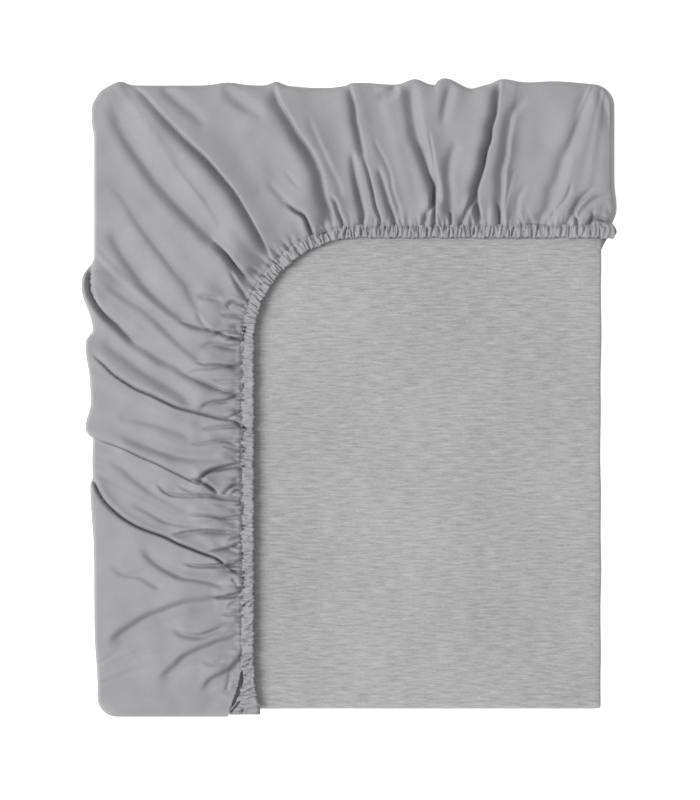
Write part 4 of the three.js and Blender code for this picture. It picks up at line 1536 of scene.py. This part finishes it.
@dataclass
class PanelCloth:
    """The panel, its width folded in half and its length in half and in half again."""

    stack: Stack
    bend_steps: int = 14
    width_steps: int = 44
    arm_steps: int = 56
    edge_roll: float = 0.9
    roll_reach: float = 7.0
    seed: int = 7
    arm_insets: tuple[float, ...] = (1.0, 2.2, 1.4, 0.0)
    arm_backs: tuple[float, ...] = (0.0, 0.0, 1.5, 0.6)

    def section(self) -> tuple[np.ndarray, np.ndarray, np.ndarray]:
        """Gives the outline of the doubled width.

        Returns:
            Places across from the left, heights over the doubled cloth's middle, and the
            cloth's own lengths from its middle line.
        """
        s = self.stack
        outer, inner = s.thickness + s.gap / 2, s.gap / 2
        centre = s.right - outer
        x, h, u = [], [], []
        span = centre - s.left
        for radius, turn in ((outer, 1), (inner, -1)):
            fan = np.linspace(-1, 1, self.bend_steps + 1) * turn
            run = (1 - np.cos(np.linspace(0, math.pi, self.width_steps))) / 2
            x += list(s.left + span * run[:-1])
            h += [-radius * turn] * (self.width_steps - 1)
            u += list(-turn * (span * (1 - run[:-1]) + outer * 1.57))
            x += list(centre + radius * np.cos(fan * math.pi / 2))
            h += list(radius * np.sin(fan * math.pi / 2))
            u += list(outer * 1.57 * fan)
            x += list(s.left + span * run[::-1][1:])
            h += [radius * turn] * (self.width_steps - 1)
            u += list(turn * (span * (1 - run[::-1][1:]) + outer * 1.57))
        return np.array(x), np.array(h), np.array(u)

    def path(self) -> list[tuple[float, float, float, float, float, float]]:
        """Walks the folded length from the top layer inwards.

        Returns:
            Place along, height, the normal's two parts, inset of the fold and cloth length.
        """
        s = self.stack
        reach = s.thickness + s.gap / 2
        pitch = 2 * reach + s.gap
        wide, tight = 1.5 * pitch, pitch / 2
        front = s.front + wide + reach
        back = s.back - tight - reach
        steps = []

        def level(arm: int) -> float:
            """Gives the middle height of an arm."""
            return reach + arm * pitch

        def straight(arm: int, start: float, end: float, side: float) -> None:
            """Adds an arm."""
            run = (1 - np.cos(np.linspace(0, math.pi, self.arm_steps))) / 2
            for share in run:
                steps.append((start + (end - start) * share, level(arm), 0.0, side,
                              self.arm_insets[arm]))

        def bend(y: float, one: int, other: int, turn: float) -> None:
            """Adds a bend between two arms."""
            radius = abs(level(other) - level(one)) / 2
            middle = (level(one) + level(other)) / 2
            start = math.copysign(math.pi / 2, level(one) - middle)
            count = 2 * self.bend_steps if radius > tight + 1 else self.bend_steps
            for k in range(1, count):
                angle = start + turn * math.pi * k / count
                inset = np.interp(k / count, [0, 1], [self.arm_insets[one],
                                                      self.arm_insets[other]])
                steps.append((y + radius * math.cos(angle), middle + radius * math.sin(angle),
                              turn * math.cos(angle), turn * math.sin(angle), float(inset)))

        straight(3, s.back - self.arm_backs[3], front, 1)
        bend(front, 3, 0, 1)
        straight(0, front, back, -1)
        bend(back, 0, 1, 1)
        straight(1, back, front, 1)
        bend(front, 1, 2, -1)
        straight(2, front, s.back - self.arm_backs[2], -1)
        lengths = np.concatenate([[0], np.cumsum([math.hypot(b[0] - a[0], b[1] - a[1])
                                                  for a, b in zip(steps, steps[1:])])])
        return [(*step, float(length)) for step, length in zip(steps, lengths)]

    def corner_inset(self, radius: float, distance: np.ndarray) -> np.ndarray:
        """Gives how far a round corner takes a side in."""
        short = np.clip(radius - distance, 0, radius)
        return radius - np.sqrt(radius**2 - short**2)

    def build(self, finish: bpy.types.Material) -> bpy.types.Object:
        """Builds the panel as one folded closed sheet.

        Args:
            finish: Its material.

        Returns:
            The panel.
        """
        s = self.stack
        sx, sh, su = self.section()
        path = np.array(self.path())
        y0, z0, ny, nz, fold_inset, length = path.T
        y = y0[:, None] + sh[None, :] * ny[:, None]
        z = z0[:, None] + sh[None, :] * nz[:, None]
        ends = np.minimum(y - s.front, s.back - y)
        sewn = self.corner_inset(s.sewn_radius, ends)
        folded = fold_inset[:, None] + self.corner_inset(s.folded_radius, y - s.front)
        share = np.clip((sx[None, :] - s.left) / (s.right - s.left), 0, 1)
        x = sx[None, :] + sewn * (1 - share) ** 3 - folded * share**3
        rng = np.random.default_rng(self.seed)
        lift = np.zeros(x.shape)
        for size, height in ((260, 0.35), (130, 0.2), (60, 0.1), (34, 0.05)):
            for _ in range(3):
                angle, phase = rng.uniform(0, math.tau, 2)
                lift += height / 1.7 * np.sin(
                    math.tau / size * (x * math.cos(angle) + y * math.sin(angle)) + phase)
        right_edge = np.exp(-np.maximum(0, s.right - x) / self.roll_reach * 2)
        front_edge = np.exp(-np.maximum(0, y - s.front) / self.roll_reach * 3)
        drop = self.edge_roll * np.maximum(right_edge, front_edge)
        covered = smooth(-60, -90, x) + smooth(112, 142, y)
        lift = lift * (1 - np.minimum(1, covered)) - drop
        z = z * (1 + lift / s.height)
        wave = sum(0.25 * np.sin(y / size + length[:, None] * 0.011 + rng.uniform(0, math.tau))
                   for size in (9.0, 21.0, 47.0))
        x = x + wave * share**6
        from_front = np.maximum(0, y - s.front)
        y = s.front + from_front * (1 - 0.6 * np.exp(-((from_front / 7) ** 2)))
        points = np.stack([x, y, z], axis=2).reshape(-1, 3)
        flat = np.stack([np.repeat(su[None, :], len(path), axis=0),
                         np.repeat(length[:, None], len(su), axis=1)], axis=2)
        around = len(sx)
        index = np.arange(len(path) * around).reshape(len(path), around)
        following = np.roll(index, -1, axis=1)
        faces = np.stack([index[:-1], following[:-1], following[1:], index[1:]],
                         axis=-1).reshape(-1, 4).tolist()
        half = around // 2
        for row in (index[0], index[-1]):
            outer_row, inner_row = row[:half], row[half:][::-1]
            faces += [[int(v) for v in (outer_row[k], outer_row[k + 1], inner_row[k + 1],
                                        inner_row[k])] for k in range(half - 1)]
        return make_piece("panel_cloth", points, faces, finish, metres(flat.reshape(-1, 2)))


@dataclass
class Studio:
    """Plain pale floor, soft light from the upper left and a camera straight above."""

    view_height: float = 0.64
    camera_height: float = 5.0
    centre: tuple[float, float] = (0.0008, -0.0016)
    sensor: float = 36.0
    key_power: float = 1300.0
    key_size: float = 6.0
    key_distance: float = 12.0
    key_height: float = math.radians(45)
    key_turn: float = math.radians(-7)
    sky: float = 0.5

    def build(self) -> None:
        """Sets the floor, the lights and the camera."""
        scene = bpy.context.scene
        scene.view_settings.view_transform = "Standard"
        material, nodes = new_material("studio_floor")
        paper = nodes.add("ShaderNodeBsdfPrincipled", {
            "Base Color": (0.8, 0.8, 0.8, 1), "Roughness": 0.9, "Specular IOR Level": 0.1,
            "Emission Color": (1, 1, 1, 1), "Emission Strength": 0.7})
        nodes.add("ShaderNodeOutputMaterial", {"Surface": paper.outputs[0]})
        mesh = bpy.data.meshes.new("studio_floor")
        mesh.from_pydata([(-4, -4, 0), (4, -4, 0), (4, 4, 0), (-4, 4, 0)], [], [(0, 1, 2, 3)])
        mesh.materials.append(material)
        floor = bpy.data.objects.new("studio_floor", mesh)
        scene.collection.objects.link(floor)

        world = bpy.data.worlds.new("studio_sky")
        world.use_nodes = True
        sky = Nodes(world.node_tree)
        light = sky.add("ShaderNodeBackground", {"Color": (1, 1, 1, 1), "Strength": self.sky})
        sky.add("ShaderNodeOutputWorld", {"Surface": light.outputs[0]})
        scene.world = world

        key = bpy.data.lights.new("key_light", "AREA")
        key.energy, key.size = self.key_power, self.key_size
        lamp = bpy.data.objects.new("key_light", key)
        level = self.key_distance * math.cos(self.key_height)
        place = Vector((-level * math.cos(self.key_turn), level * math.sin(self.key_turn),
                        self.key_distance * math.sin(self.key_height)))
        lamp.location = place
        lamp.rotation_euler = (-place).to_track_quat("-Z", "Y").to_euler()
        scene.collection.objects.link(lamp)

        view = bpy.data.cameras.new("camera")
        view.sensor_width = self.sensor
        view.lens = self.sensor * (self.camera_height - 0.02) / self.view_height
        view.clip_start, view.clip_end = 0.1, 20
        camera = bpy.data.objects.new("camera", view)
        camera.location = (*self.centre, self.camera_height)
        scene.collection.objects.link(camera)
        scene.camera = camera


def main() -> None:
    logging.basicConfig(level=logging.INFO, format="%(message)s")
    stack, outline, hem = Stack(), SkirtOutline(), HemLine()
    Studio().build()
    panel = PanelCloth(stack).build(MelangeFinish().material())
    skirt = SkirtCloth(outline, hem, stack, Gathers(hem)).build(SKIRT_FINISH.material())
    casing = HemCasing(hem, stack, Gathers(hem)).build(HEM_FINISH.material())
    stitches = StitchLine(hem, stack).build(THREAD_FINISH.material())
    for piece, slot in ((panel, "panel_cloth"), (skirt, "skirt_cloth"),
                        (casing, "skirt_cloth"), (stitches, "skirt_cloth")):
        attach(piece, "root")
        LOG.info("%s: %d faces", piece.name, len(piece.data.polygons))
    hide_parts("panel")
    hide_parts("skirt")
    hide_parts("skirt")
    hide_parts("skirt")


if __name__ == "__main__":
    main()
